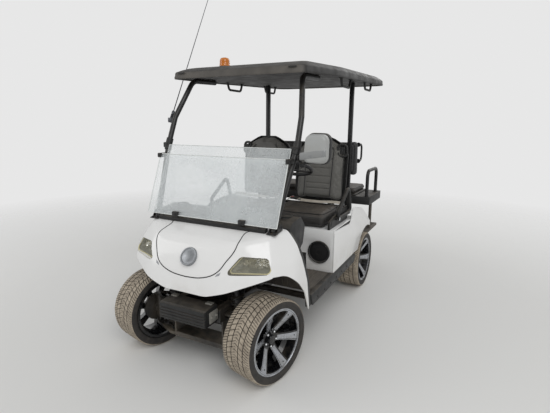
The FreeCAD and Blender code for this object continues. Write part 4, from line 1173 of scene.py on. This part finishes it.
def backRing(z, side, inset):
    width = backHalf(z) - inset
    thick = 116 - (z - 850) * 40 / 530
    ends = min(1.0, (z - 850) / 28) ** 0.5 * min(1.0, max(0.02, (1392 - z) / 46)) ** 0.5
    ring = []
    for k in range(29):
        s = -1 + 2 * k / 28
        edge = (1 - abs(s) ** 7) ** 0.5
        bolster = math.exp(-((abs(s) - 0.76) / 0.19) ** 2) * min(1.0, (1345 - z) / 60 if z > 1285 else 1.0)
        depth = thick * ends * edge * (0.70 + 0.27 * max(bolster, 0.0))
        ring.append(at(side * (seat["middle"] + s * width), backRear(z) - 16 - depth + inset, z))
    for k in range(9):
        s = 1 - 2 * (k + 0.5) / 9
        ring.append(at(side * (seat["middle"] + s * (width - 4)), backRear(z) - 12, z))
    return ring


def makeFrontBack():
    bm = bmesh.new()
    levels = [seat["low"] + (seat["top"] - seat["low"]) * k / 26 for k in range(27)]
    for side in (1, -1):
        loftRings(bm, [backRing(z, side, 8) for z in levels])
    body = puff(bm, "frontBackBlown", 0.009, 0.012, 2.0)

    def channels(co, normal):
        x, z = abs(co.x) * 1000, co.z * 1000
        if normal.y > -0.3 or abs(x - seat["middle"]) > seat["panel"] + 6:
            return Vector((0, 0, 0))
        depth = max(max(0.0, 1 - abs(z - c) / 8) for c in seat["channels"])
        fade = min(1.0, (seat["panel"] + 6 - abs(x - seat["middle"])) / 12)
        return Vector((0, seat["channelDepth"] * depth * fade / 1000, 0))

    def panelEdge(co, normal):
        x, z = abs(co.x) * 1000, co.z * 1000
        if normal.y > -0.2 or z > 1330:
            return Vector((0, 0, 0))
        depth = max(0.0, 1 - abs(abs(x - seat["middle"]) - seat["panel"]) / 9)
        return Vector((0, 0.005 * depth, 0))

    def flatBehind(co):  # the pad rests flat on its shell
        x, z = abs(co.x) * 1000, co.z * 1000
        bow = 22 * min(1.0, abs(x - seat["middle"]) / (backHalf(z) + 10)) ** 5
        limit = (backRear(z) - frontAxle - 16 - bow) / 1000
        return Vector((0, min(0.0, limit - co.y), 0))

    pipes = []
    for side in (1, -1):
        for offset in (-107, 107):
            flare = [(z, offset * (0.97 + (z - 900) * 0.00012)) for z in range(880, 1331, 15)]
            line = [at(side * (seat["middle"] + x), backRear(z) - 130, z) for z, x in flare]
            pipes.append((line, False))
        border = [(-1, z) for z in range(880, 1321, 20)] + [(1, z) for z in range(1320, 879, -20)]
        line = [at(side * (seat["middle"] + t * backHalf(z) * 0.985), backRear(z) - 44, z) for t, z in border]
        pipes.append((line, False))
        line = [at(side * (seat["middle"] + x), backRear(1200) - 130, 1215) for x in range(-105, 106, 10)]
        pipes.append((line, False))
    crease = lambda co, normal: channels(co, normal) + panelEdge(co, normal) + flatBehind(co)
    vinyl = seatVinyl("backVinyl", "62615d", "807c73")
    finishPad(body, "front_seat_back", [vinyl, piping], crease, pipes)
    # Shells behind the pads and the square hand-holds at the shoulders
    bm = bmesh.new()
    for side in (1, -1):
        rings = []
        levels = (852, 880, 1000, 1240, 1290, 1316, 1334, 1352, 1370, 1384)
        for z, grow in zip(levels, (2, 9, 10, 10, 10, 10, 10, 10, 9, 2)):
            w = backHalf(max(z, 862)) + grow
            ring = []
            for way, bow, gap in ((1, 24, 14), (-1, 22, 1)):
                for s in [way * (k / 6 - 1) for k in range(13)]:
                    ring.append(at(side * (seat["middle"] + s * w), backRear(z) - bow * abs(s) ** 5 - gap, z))
            rings.append(ring)
        loftRings(bm, rings)
        hold = [at(side * (seat["middle"] + x), backRear(1280) - 92 + lean, z) for x, z, lean in
                ((150, 1325, 18), (222, 1325, 32), (232, 1232, 26), (158, 1232, 10))]
        roundBar(bm, hold, 0.0105, 0.028, closed=True, sides=14, steps=6)
        corners = ((170, 1310), (216, 1310), (220, 1248), (174, 1248))
        sheet = [[at(side * (seat["middle"] + x), backRear(1280) - d, z) for x, z in corners]
            for d in (84, 81)]
        loftRings(bm, sheet)
    finishPiece(bm, "seatShells", ["trim_plastic"])


def softBox(bm, low, high, bend, material=0, segments=2):
    verts = block(bm, low, high, material)
    edges = list({e for v in verts for e in v.link_edges})
    bmesh.ops.bevel(bm, geom=edges, offset=bend, segments=segments, profile=0.5, affect="EDGES", material=-1)


def rectPath(x0, x1, y0, y1, z, corner=0.05):
    corners = [Vector((x, y, z)) for x, y in ((x0, y0), (x1, y0), (x1, y1), (x0, y1))]
    return bentPath(corners, corner, True, 5)


def denseRing(path):
    ring = dense(list(path) + [path[0]])
    return ring[:-1]


def makeCushions():
    bm = bmesh.new()
    for side in (1, -1):
        low, high = at(18 if side > 0 else -512, 746, 746), at(512 if side > 0 else -18, 1182, 838)
        softBox(bm, low, high, 0.035, segments=4)
    body = puff(bm, "frontCushionBlown", 0.009, 0.014, 3.0)
    pipes = []
    for side in (1, -1):
        x0, x1 = sorted((side * 0.035, side * 0.500))
        y0, y1 = at(0, 765, 0).y, at(0, 1168, 0).y
        pipes.append((denseRing(rectPath(x0, x1, y0, y1, 0.853, 0.055)), True))
        lower = rectPath(x0 - 0.014, x1 + 0.014, y0 - 0.018, y1 + 0.012, 0.765)
        pipes.append((denseRing(lower), True))

    def tuft(co, normal):
        x, y = abs(co.x) * 1000, co.y * 1000 + frontAxle
        if normal.z < 0.3:
            return Vector((0, 0, 0))
        depth = max(0.0, 1 - abs(abs(x - 265) - 118) / 9) if 800 < y < 1170 else 0.0
        dish = max(0.0, 1 - ((x - 265) / 190) ** 2) * max(0.0, 1 - ((y - 990) / 190) ** 2)
        return Vector((0, 0, -0.005 * depth - 0.012 * dish))

    finishPad(body, "front_cushion", [seatTop, piping], tuft, pipes)
    bm = bmesh.new()
    softBox(bm, at(-442, 1784, 842), at(442, 2183, 884), 0.018, segments=4)
    body = puff(bm, "rearCushionBlown", 0.009, 0.010, 3.0)
    border = rectPath(-0.43, 0.43, at(0, 1796, 0).y, at(0, 2170, 0).y, 0.893)
    pipes = [(denseRing(border), True)]

    def rows(co, normal):
        x = co.x * 1000
        if normal.z < 0.3:
            return Vector((0, 0, 0))
        depth = max(max(0.0, 1 - abs(x - c) / 9) for c in (-150, 150))
        return Vector((0, 0, -0.005 * depth))

    finishPad(body, "rear_cushion", [seatTop, piping], rows, pipes)
    bm = bmesh.new()
    softBox(bm, at(-448, 1777, 827), at(448, 2188, 838), 0.004)
    for x in (330, -360):  # hinge straps and barrels under the plate
        rodBetween(bm, at(x + 16, 2211, 830.3), at(x + 44, 2211, 830.3), 0.005, 16, 1)
        block(bm, at(x + 16, 2183, 826.6), at(x + 44, 2211, 830.2), 1)
    finishPiece(bm, "rearCushionPlate", ["trim_plastic", "aerial_steel"], 35.0, weld=True,
        body="rear_seat_lid")
    bm = bmesh.new()
    softBox(bm, at(-482, 1658, 1030), at(482, 1724, 1340), 0.03, segments=4)
    body = puff(bm, "rearBackBlown", 0.009, 0.010, 3.0)
    front, back = at(0, 1650, 0).y, at(0, 1737, 0).y

    def split(co, normal):
        depth = max(max(0.0, 1 - abs(co.x * 1000 - c) / 9) for c in (-160, 160))
        lean = (1.35 - co.z) * 0.06 if normal.y > 0 else 0.0
        inward = 0.005 if normal.y < -0.3 else -0.005 if normal.y > 0.3 else 0
        return Vector((0, inward * depth + lean, 0))

    ring = [Vector((x, 1.0, z)) for x, z in ((-0.462, 1.05), (0.462, 1.05), (0.462, 1.325), (-0.462, 1.325))]
    pipes = []
    for y in (front, back):
        path = [Vector((p.x, y, p.z)) for p in bentPath(ring, 0.045, True, 5)]
        pipes.append((denseRing(path), True))
    finishPad(body, "rear_seat_back", ["seat_vinyl", piping], split, pipes)


def seatTopLook():
    look = {"color": "383634", "dusty": "756b5f"}
    g = Graph("seatTop", look["color"], 0.5)
    settled = g.spread(g.facing()[2], 0.3, 0.95) * (g.spread(g.noise(5.0, 8.0, 0.72), 0.35, 0.72) * 0.6 + 0.1)
    g.tint(settled, look["color"], look["dusty"])
    g.sheen(30.0, 0.42, 0.56, settled * 0.2)
    leather(g, 480.0, 16.0)
    return g.material


seatTop = seatTopLook()
makeFrontBack()
makeCushions()
print("seats made")


# Seat belt, side covers and arm loops

def ribbon(bm, path, width, thick, across):
    rings = []
    for i, p in enumerate(path):
        ahead = (path[min(i + 1, len(path) - 1)] - path[max(i - 1, 0)]).normalized()
        side = (across - ahead * across.dot(ahead)).normalized() * width / 2
        up = side.cross(ahead).normalized() * thick / 2
        rings.append([p - side - up, p + side - up, p + side + up, p - side + up])
    loftRings(bm, rings)


def webbing():
    g = Graph("beltWebbing", "b9b1a3", 0.85)
    weave = abs((g.axes()[0] * 420.0) % 1.0 - 0.5) * 2.0
    stains = g.spread(g.noise(22.0, 5.0), 0.4, 0.8) * 0.6
    g.tint(stains, "c2bbae", "8b8172")
    g.bump(weave, 0.5, 0.0006)
    return g.material


def makeBelts():
    bm = bmesh.new()
    red = tinted("buckleRed", "a8231c", 0.96)
    for side in (1, -1):
        line = [(512, 1178, 842), (500, 1150, 866), (430, 1128, 873), (330, 1118, 868), (200, 1124, 867),
            (120, 1136, 872)]
        path = smoothLine([at(side * x, d, z) for x, d, z in line], 5)
        ribbon(bm, path, 0.046, 0.0022, Vector((0, 1, 0.25)))
        line = [(18, 1185, 846), (40, 1165, 868), (80, 1146, 874)]
        path = smoothLine([at(side * x, d, z) for x, d, z in line], 5)
        ribbon(bm, path, 0.040, 0.0024, Vector((0, 1, 0.25)))
        softBox(bm, at(side * 100 - 32, 1112, 868), at(side * 100 + 32, 1166, 886), 0.005, 1)
        softBox(bm, at(side * 82 - 9, 1122, 884), at(side * 82 + 9, 1156, 889), 0.002, 2)
        softBox(bm, at(side * 152 - 12, 1108, 866), at(side * 152 + 12, 1158, 873), 0.002, 3)
    finishPiece(bm, "lapBelts", [webbing(), "trim_plastic", red, "bright_chrome"], 35.0,
        body="front_seat_lid")


def makeSeatSides():
    bm = bmesh.new()
    for side in (1, -1):
        skirt = [(742, 741), (742, 800, 30), (1000, 845, 40), (1170, 850, 10), (1170, 741)]
        x0, x1 = sorted((side * 540.5, side * 555))
        prismAlong(bm, roundedOutline(skirt), "yz", x0, x1)
        inner = [(775, 756, 8), (778, 796, 20), (1002, 834, 30), (1150, 838, 8), (1150, 756, 8)]
        x0, x1 = sorted((side * 554, side * 557.5))
        prismAlong(bm, roundedOutline(inner), "yz", x0, x1)
        loop = [at(side * 572, d, z) for d, z in ((800, 800), (1120, 1010), (1190, 800))]
        roundBar(bm, loop, 0.0148, 0.034, closed=True, sides=18, steps=8)
        for d in (860, 1130):
            x0, x1 = sorted((side * 554.5, side * 573))
            block(bm, at(x0, d, 791), at(x1, d + 30, 811))
            rodBetween(bm, at(side * 586, d + 15, 801), at(side * 589, d + 15, 801), 0.010, 6, 1)
            rodBetween(bm, at(side * 586, d + 15, 801), at(side * 587, d + 15, 801), 0.014, 16, 1)
    finishNode(bm, "seat_sides", ["trim_plastic", "bright_chrome"], 35.0)


makeBelts()
makeSeatSides()
print("belts and seat sides made")


# Steering wheel and column

def columnFrame():
    top, foot = at(280, 600, 1195), at(280, 330, 560)
    axis = (top - foot).normalized()
    return top, axis, Matrix.Translation(top) @ turnedTo(axis).to_4x4()


def makeSteering():
    top, axis, turn = columnFrame()
    bm = bmesh.new()
    roundBar(bm, circle(0.170, 72), 0.0122, closed=True)
    for angle in (0, 120, 240):
        spin = Matrix.Rotation(math.radians(angle), 3, "Z")
        rings = []
        for reach, half, z in ((0.030, 0.021, -0.013), (0.070, 0.015, -0.010), (0.120, 0.012, -0.006),
                (0.166, 0.014, -0.001)):
            corners = ((-half, -0.004), (half, -0.004), (half * 0.8, 0.004), (-half * 0.8, 0.004))
            rings.append([spin @ Vector((x, reach, z + dz)) for x, dz in corners])
        loftRings(bm, rings)
    before = set(bm.verts)
    lathe(bm, [(-0.029, 0.0002), (-0.029, 0.036), (-0.018, 0.046), (-0.002, 0.047), (0.003, 0.043),
        (0.0038, 0.030), (0.0034, 0.0002)], 40)
    fresh = [v for v in bm.verts if v not in before]
    bmesh.ops.rotate(bm, verts=fresh, cent=(0, 0, 0), matrix=Matrix.Rotation(math.radians(-90), 3, "Y"))
    bmesh.ops.transform(bm, matrix=turn, verts=bm.verts)
    finishNode(bm, "steering_wheel", [trimPlastic("wheelGrip", "1d1d1f", 0.2, 1200.0)])
    bm = bmesh.new()
    shaftTop = top - axis * 0.0305
    podLow = shaftTop - axis * 0.15
    rodBetween(bm, at(280, 345, 595), podLow, 0.0235, 24)
    rings = []
    across = Vector((1, 0, 0))
    up = axis.cross(across).normalized()
    for share, size in ((0.0, 0.030), (0.06, 0.038), (0.2, 0.041), (0.7, 0.038), (0.95, 0.035), (1.0, 0.030)):
        middle = podLow.lerp(shaftTop, share)
        angles = [math.tau * k / 24 for k in range(24)]
        rings.append([middle + (across * math.cos(a) + up * math.sin(a)) * size for a in angles])
    loftRings(bm, rings)
    lever = [shaftTop - axis * 0.06, shaftTop - axis * 0.055 + Vector((-0.045, -0.004, 0.004)),
        shaftTop - axis * 0.042 + Vector((-0.13, -0.018, 0.009))]
    roundBar(bm, lever, 0.0052, 0.02, sides=12)
    rodBetween(bm, lever[-1], lever[-1] + Vector((-0.018, -0.003, 0.002)), 0.0075, 14, 0, 0.006)
    bellows = at(280, 352, 612)
    for k in range(5):
        low = bellows + axis * (0.011 * k)
        rodBetween(bm, low, low + axis * 0.0075, 0.040 - 0.0028 * k, 24)
    finishNode(bm, "steering_column", ["trim_plastic"])


makeSteering()
print("steering made")


# Round details: a profile of (along, radius) in metres turned about any axis

def turnedPart(bm, middle, way, profile, steps=32, material=0, flute=0.0, count=0):
    turn = turnedTo(way)
    rings = []
    for along, radius in profile:
        ring = []
        for k in range(steps):
            angle = math.tau * k / steps
            r = radius * (1 + flute * math.cos(count * angle)) if radius > 0.002 else radius
            ring.append(middle + turn @ Vector((r * math.cos(angle), r * math.sin(angle), along)))
        rings.append(ring)
    loftRings(bm, rings, material=material)


def bolt(bm, spot, way, size, material=0):
    way = Vector(way).normalized()
    turnedPart(bm, spot, way, [(-0.001, size * 1.5), (size * 0.22, size * 1.5),
        (size * 0.3, size * 1.35)], 16, material)
    turnedPart(bm, spot, way, [(0.0, size), (size * 0.85, size), (size, size * 0.86)], 6, material)


def coil(low, high, radius, turns, steps=14):
    turn = turnedTo(high - low)
    total = int(turns * steps)
    out = []
    for k in range(total + 1):
        share = k / total
        arm = Matrix.Rotation(math.tau * turns * share, 3, "Z") @ Vector((radius, 0, 0))
        out.append(low.lerp(high, share) + turn @ arm)
    return out


def plainLook(name, color, rough, dusty=None, amount=0.5):
    g = Graph(name, color, rough)
    wear = g.spread(g.noise(7.0, 8.0, 0.7), 0.4, 0.75)
    if dusty:
        g.tint(wear * amount, color, dusty)
    g.give("Roughness", wear * 0.25 + rough)
    g.bump(g.noise(300.0, 4.0), 0.12, 0.0006)
    return g.material


# Emblem, mirror, beacon and aerial

def makeEmblem():
    bm = bmesh.new()
    middle, outward = at(0, -152, 722), Vector((0, -0.82, 0.572))
    turnedPart(bm, middle, outward, [(-0.018, 0.054), (-0.003, 0.0565), (0.0045, 0.0565),
        (0.0078, 0.0545), (0.0085, 0.051), (0.0078, 0.0475), (0.0052, 0.046), (0.0050, 0.030),
        (0.0058, 0.028), (0.0062, 0.0004)], 64)
    finishNode(bm, "emblem", [polished("emblemSatin", "9b9ea1", 0.36)], 30.0)


def makeMirror():
    housing = plainLook("mirrorShell", "a9abaa", 0.34, "95928a", 0.4)
    bm = bmesh.new()
    outline = roundedOutline([(546, 1263, 34), (703, 1258, 44), (706, 1438, 44), (562, 1440, 44)], 7)
    mid = (sum(p[0] for p in outline) / len(outline), sum(p[1] for p in outline) / len(outline))

    def ring(y, shrink):
        return [at(mid[0] + (u - mid[0]) * shrink, y, mid[1] + (v - mid[1]) * shrink) for u, v in outline]

    loftRings(bm, [ring(276, 0.93), ring(262, 0.945), ring(240, 0.94), ring(224, 0.905), ring(214, 0.83),
        ring(210.8, 0.70), ring(210.2, 0.4)])
    loftRings(bm, [ring(299.5, 0.90), ring(299.5, 0.955), ring(296, 0.995), ring(282, 1.005),
        ring(266, 1.0), ring(258, 0.965), ring(262, 0.9)], material=1)
    loftRings(bm, [ring(300.0, 0.86), ring(300.6, 0.905), ring(299.0, 0.91), ring(298.0, 0.86)], material=2)
    band = [(-0.094, 1288, 1318, 222), (-0.088, 1283, 1325, 213), (-0.045, 1289, 1334, 207.5),
        (0.01, 1298, 1342, 206), (0.058, 1304, 1347, 207.5), (0.070, 1308, 1347, 214)]
    rings = []
    for dx, low, high, y in band:
        x = 625 + dx * 1000
        bend = (high - low) * 0.2
        rings.append([at(x, 232, low), at(x, y + 5, low), at(x, y, low + bend), at(x, y, high - bend),
            at(x, y + 5, high), at(x, 232, high)])
    loftRings(bm, rings, material=3)
    roundBar(bm, [at(511, 255, 1292), at(540, 252, 1252), at(560, 248, 1268), at(600, 246, 1272)], 0.0085,
        0.016, sides=14, material=1)
    turnedPart(bm, at(540, 252, 1252), (1, 0, 0.3), [(-0.016, 0.010), (-0.01, 0.0155), (0.01, 0.0155),
        (0.016, 0.010)], 20, 1)
    softBox(bm, at(506, 240, 1276), at(518, 270, 1308), 0.003, 1)
    bandLook = plainLook("mirrorBand", "8b8d8e", 0.2, "a5a49c", 0.3)
    finishNode(bm, "side_mirror", [housing, "trim_plastic", "bright_chrome", bandLook])


def makeBeacon():
    bm = bmesh.new()
    foot = at(-400, 860, roofZ(860) + roofSize["lift"] - 7)
    up = (0, 0, 1)
    turnedPart(bm, foot, up, [(0.002, 0.047), (0.008, 0.0485), (0.016, 0.0480), (0.020, 0.0455),
        (0.030, 0.0445), (0.0335, 0.043)], 48, 0)
    for k in range(3):
        angle = math.tau * (k + 0.2) / 3
        bolt(bm, foot + Vector((0.0425 * math.cos(angle), 0.0425 * math.sin(angle), 0.0185)), up, 0.0028, 0)
    finishNode(bm, "beacon_base", ["trim_plastic"], 35.0)
    bm = bmesh.new()
    base = foot + Vector((0, 0, 0.0340))
    profile = [(0.0, 0.0415), (0.004, 0.0418), (0.010, 0.0405), (0.030, 0.0392), (0.046, 0.0378),
        (0.055, 0.0345), (0.061, 0.0270), (0.0645, 0.0150), (0.0655, 0.0004)]
    turnedPart(bm, base, up, profile, 96, 0, 0.012, 24)
    for z in (0.014, 0.022, 0.030, 0.038):
        turnedPart(bm, base, up, [(z - 0.0012, 0.0395), (z - 0.0006, 0.0409 - z * 0.03),
            (z + 0.0006, 0.0409 - z * 0.03), (z + 0.0012, 0.0395)], 48, 0)
    turnedPart(bm, base, up, [(0.002, 0.012), (0.040, 0.012), (0.046, 0.006)], 20, 1)
    finishNode(bm, "beacon_dome", [slotOf["beacon_dome"], "bright_chrome"])


def makeAerial():
    bm = bmesh.new()
    low, tip = at(-530, 345, 1497), at(-706, 1148, 2640)
    way = (tip - low).normalized()
    turnedPart(bm, low, way, [(0.0, 0.010), (0.004, 0.0118), (0.020, 0.0118), (0.024, 0.0085),
        (0.070, 0.0080), (0.074, 0.0105), (0.092, 0.0105), (0.098, 0.005)], 20)
    roundBar(bm, coil(low + way * 0.024, low + way * 0.070, 0.0098, 7), 0.0016, sides=6)
    rings = []
    for share in [k / 24 for k in range(25)]:
        middle = (low + way * 0.09).lerp(tip, share)
        rings.append([middle + turnedTo(way) @ p for p in circle(0.0036 - 0.0014 * share, 8)])
    loftRings(bm, rings)
    turnedPart(bm, tip - way * 0.004, way, [(-0.006, 0.002), (-0.004, 0.0042), (0.001, 0.0042),
        (0.003, 0.002)], 12)
    softBox(bm, at(-538, 329, 1494), at(-494, 357, 1527), 0.003)
    bolt(bm, at(-521, 343, 1527), (0, 0, 1), 0.0045)
    finishNode(bm, "whip_antenna", [slotOf["whip_antenna"]])


makeEmblem()
makeMirror()
makeBeacon()
makeAerial()
print("mirror, beacon and aerial made")


# Small fittings on the kept CAD pieces, and dark sheets of painted shade under the nose

def paneDetails():
    edge = plainLook("paneEdge", "e3e6e4", 0.3)
    bm = bmesh.new()
    for x in (-483, 483):
        roundBar(bm, [at(x, 34, 906), at(x, 182, 1284)], 0.0021, sides=6)
    roundBar(bm, [at(-483, 34, 906), at(483, 34, 906)], 0.0024, sides=6)
    roundBar(bm, [at(-483, 182, 1284), at(483, 182, 1284)], 0.0026, sides=6)
    low, high = (corner.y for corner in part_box("windshield_lower"))
    for x in (-0.465, 0.465):
        roundBar(bm, [Vector((x, low + 0.004, 0.903)), Vector((x, high - 0.003, 1.341))], 0.0018, sides=6)
    roundBar(bm, [Vector((x, high - 0.003, 1.3425)) for x in (-0.464, 0.464)], 0.0022, sides=6)
    finishPiece(bm, "paneEdges", [edge])
    bm = bmesh.new()
    for side in (1, -1):
        softBox(bm, at(side * 250 - 23, 26, 900), at(side * 250 + 23, 50, 930), 0.004)
        bolt(bm, at(side * 250, 26, 916), (0, -1, 0.2), 0.005)
        knee = at(side * 492, 275, 1340)
        rodBetween(bm, at(side * 488.6, 262, 1309), knee, 0.0235, 24)
        rodBetween(bm, knee, at(side * 490.6, 292, 1383), 0.0235, 24)
        softBox(bm, at(side * 492 - 30, 252, 1322), at(side * 492 + 12, 292, 1358), 0.006)
        bolt(bm, at(side * 490, 252, 1340), (0, -1, 0), 0.0055)
        softBox(bm, at(side * 485 - 18, 168, 1258), at(side * 485 + 10, 240, 1288), 0.006)
        rodBetween(bm, at(side * 485 - 20, 184, 1280), at(side * 485 + 14, 184, 1280), 0.0085, 16)
    for x in range(-360, 361, 120):
        bolt(bm, at(x, 46, 893), (0, -0.9, 0.4), 0.0035)
    finishPiece(bm, "paneClips", ["trim_plastic"])


def speakerGrilles():
    bm = bmesh.new()
    for side in (1, -1):
        middle = at(side * 484, 729 - 1.5, 571)
        face = (0, -1, 0)
        turnedPart(bm, middle, face, [(-0.004, 0.083), (0.004, 0.0845), (0.009, 0.082), (0.010, 0.077),
            (0.006, 0.072), (0.002, 0.070)], 64, 0)
        turnedPart(bm, middle, face, [(0.0, 0.072), (0.0025, 0.071), (0.0062, 0.050), (0.0078, 0.026),
            (0.0082, 0.0004)], 48, 1)
        for radius in (0.020, 0.032, 0.044, 0.056, 0.067):
            z = 0.0082 - 0.0075 * (radius / 0.072) ** 2
            turnedPart(bm, middle, face, [(z - 0.001, radius - 0.0022), (z + 0.0014, radius - 0.0012),
                (z + 0.0014, radius + 0.0012), (z - 0.001, radius + 0.0022)], 48, 0)
        for k in range(4):
            angle = math.tau * (k + 0.5) / 4
            away = Vector((0.0785 * math.cos(angle), -0.0095, 0.0785 * math.sin(angle)))
            bolt(bm, middle + away, face, 0.0022, 2)
    cloth = plainLook("speakerCloth", "0e0e10", 0.75)
    finishPiece(bm, "speakerGrilles", ["trim_plastic", cloth, "bright_chrome"])


def bumperRibs():
    bm = bmesh.new()
    for low, high, out in ((338, 350, 238.5), (356, 368, 239.5), (374, 386, 239.5), (392, 404, 239),
            (410, 436, 238)):
        softBox(bm, at(-166, -out, low), at(166, -226, high), 0.0035)
    for side in (1, -1):
        softBox(bm, at(side * 168 - 4, -196, 350), at(side * 168 + 6, -116, 418), 0.002, 1)
        for d in (-178, -134):
            bolt(bm, at(side * 174, d, 384), (side, 0, 0), 0.0065, 1)
        softBox(bm, at(side * 128 - 22, -150, 440), at(side * 128 + 22, -118, 452), 0.002, 1)
    bracket = plainLook("bracketZinc", "8f8e88", 0.4, "6a6052", 0.6)
    finishPiece(bm, "bumperRibs", ["trim_plastic", bracket], 35.0)


def treadRibs():
    bm = bmesh.new()
    for k in range(33):  # floor mat ribs and the footrest's tread
        x = -480 + k * 30
        softBox(bm, at(x - 5, 440, 425), at(x + 5, 726, 428), 0.0012)
    for k in range(23):
        y = 0.956 + 0.0168 * k
        softBox(bm, Vector((-0.488, y, 0.4175)), Vector((0.488, y + 0.007, 0.4235)), 0.0012, 1)
    finishPiece(bm, "treadRibs", [slotOf["floor"], slotOf["footrest"]], 35.0)


def coilSprings():
    bm = bmesh.new()
    for side in (1, -1):  # coil springs with their seats, and bolts along the sills
        foot, head = at(side * 282, 0, 199), at(side * 222, 0, 545)
        low, high = foot.lerp(head, 0.04), foot.lerp(head, 0.74)
        roundBar(bm, coil(low, high, 0.0345, 7), 0.0055, sides=8, material=1)
        axis = (head - foot).normalized()
        turnedPart(bm, high, axis, [(-0.004, 0.040), (0.0, 0.042), (0.006, 0.042), (0.010, 0.030)], 24, 0)
        turnedPart(bm, low, axis, [(-0.008, 0.030), (-0.004, 0.041), (0.002, 0.041), (0.004, 0.036)], 24, 0)
        base = Vector((side * 0.345, 0.577, 0.30))
        wire = coil(base + Vector((0, 0, 0.10)), base + Vector((0, 0, 0.40)), 0.0245, 9)
        roundBar(bm, wire, 0.004, sides=8, material=1)
        for d in range(420, 1200, 130):
            bolt(bm, at(side * 599, d, 372), (side, 0, 0), 0.006, 0)
    springLook = plainLook("springPaint", "2a2a2c", 0.4, "5d5446", 0.5)
    finishPiece(bm, "coilSprings", ["trim_plastic", springLook], 45.0)


def tailLamps():
    bm = bmesh.new()
    for side in (1, -1):
        x0, x1 = side * 480 - 62, side * 480 + 62
        y = 1.1403
        softBox(bm, Vector((x0 / 1000, 1.1303, 0.766)), Vector((x1 / 1000, y - 0.003, 0.810)), 0.004, 0)
        for a, b, look in ((0, 0.55, 1), (0.56, 0.78, 2), (0.79, 1.0, 3)):
            u0, u1 = (x0 + 5 + (x1 - x0 - 10) * share for share in (a, b))
            softBox(bm, Vector((u0 / 1000, 1.135, 0.771)), Vector((u1 / 1000, y + 0.002, 0.805)), 0.003, look)
    red = tinted("tailRed", "8e1712", 0.97)
    amber = tinted("tailAmber", "c4661a", 0.97)
    white = tinted("tailClear", "d9d8d0", 0.9)
    finishNode(bm, "tail_lamps", ["trim_plastic", red, amber, white], 35.0)


def dashDetails():
    bm = bmesh.new()
    softBox(bm, Vector((0.10, at(0, 345, 0).y, 0.9)), Vector((0.16, at(0, 375, 0).y, 0.926)), 0.006, 0)
    turnedPart(bm, Vector((0.13, at(0, 360, 0).y, 0.926)), (0, 0, 1), [(-0.003, 0.020), (0.003, 0.020),
        (0.005, 0.016), (0.004, 0.004)], 28, 1)
    for side in (1, -1):
        cup = at(side * 410, 302, 921)
        turnedPart(bm, cup, (0, 0, 1), [(-0.003, 0.0395), (-0.001, 0.046), (0.003, 0.0465),
            (0.005, 0.044), (0.0045, 0.0395), (0.0, 0.0385)], 40, 0)
    finishPiece(bm, "dashDetails", ["trim_plastic", "bright_chrome"], 35.0)


def fenderTrim():
    bm = bmesh.new()
    tree = bvhtree.BVHTree.FromObject(bpy.data.objects["visual_cowl"], bpy.context.evaluated_depsgraph_get())
    line = ((150, 872), (150, 820), (154, 760), (170, 690), (196, 620), (222, 556), (240, 490), (257, 410),
            (272, 345))
    edge = smoothLine([Vector((0, d, z)) for d, z in line], 4)
    section = ((3, 0), (2, 14), (4, 36), (14, 43), (28, 38), (24, -3), (8, -3))
    for side in (1, -1):
        rings = []
        for spot in edge:
            start = at(side * 900, spot.y - 5, spot.z)
            found = tree.ray_cast(start, Vector((-side, 0, 0)))[0]
            if found is None:
                continue
            x = abs(found.x) * 1000
            rings.append([at(side * (x - a), spot.y + b, spot.z) for a, b in section])
        loftRings(bm, rings)
    finishPiece(bm, "fenderTrim", ["trim_plastic"])


def paintedShadeSheets():
    bm = bmesh.new()
    # Dark sheets under the cowl and behind the front axle: painted shade that hides the lit floor seen under
    # the nose
    softBox(bm, at(-196, -60, 322), at(196, 400, 327), 0.002)
    softBox(bm, at(-196, 150, 326), at(196, 156, 560), 0.002)
    finishPiece(bm, "paintedShadeSheets", ["trim_plastic"])


paneDetails()
speakerGrilles()
bumperRibs()
treadRibs()
coilSprings()
tailLamps()
dashDetails()
fenderTrim()
paintedShadeSheets()
print("fittings made")


# CAD pieces shown in their own shape, with the width of their eased edges in metres

simple = {
    "floor": 0.003, "rocker_panels": 0.006, "side_panel_left": 0.004, "side_panel_right": 0.004,
    "seat_base": 0.003, "speakers": 0.002, "battery_pack": 0.006, "rear_deck": 0.003, "rear_struts": 0.004,
    "seat_frame": 0.003, "footrest": 0.003, "frame": 0.003, "front_cradle": 0.003, "front_bridge": 0.003,
    "rear_axle": 0.002, "leaf_springs": 0.002, "rear_dampers": 0.002, "front_arms": 0.003,
    "front_dampers": 0.002, "knuckle_left": 0.002, "knuckle_right": 0.002, "tie_rod": 0.001,
    "windshield_lower": 0.0015, "windshield_upper": 0.0015, "windshield_fittings": 0.002, "bumper": 0.006,
    "dashboard": 0.008, "firewall": 0.002, "pedals": 0.002,
}
for name, width in simple.items():
    softened(name, width)
print("CAD pieces eased")
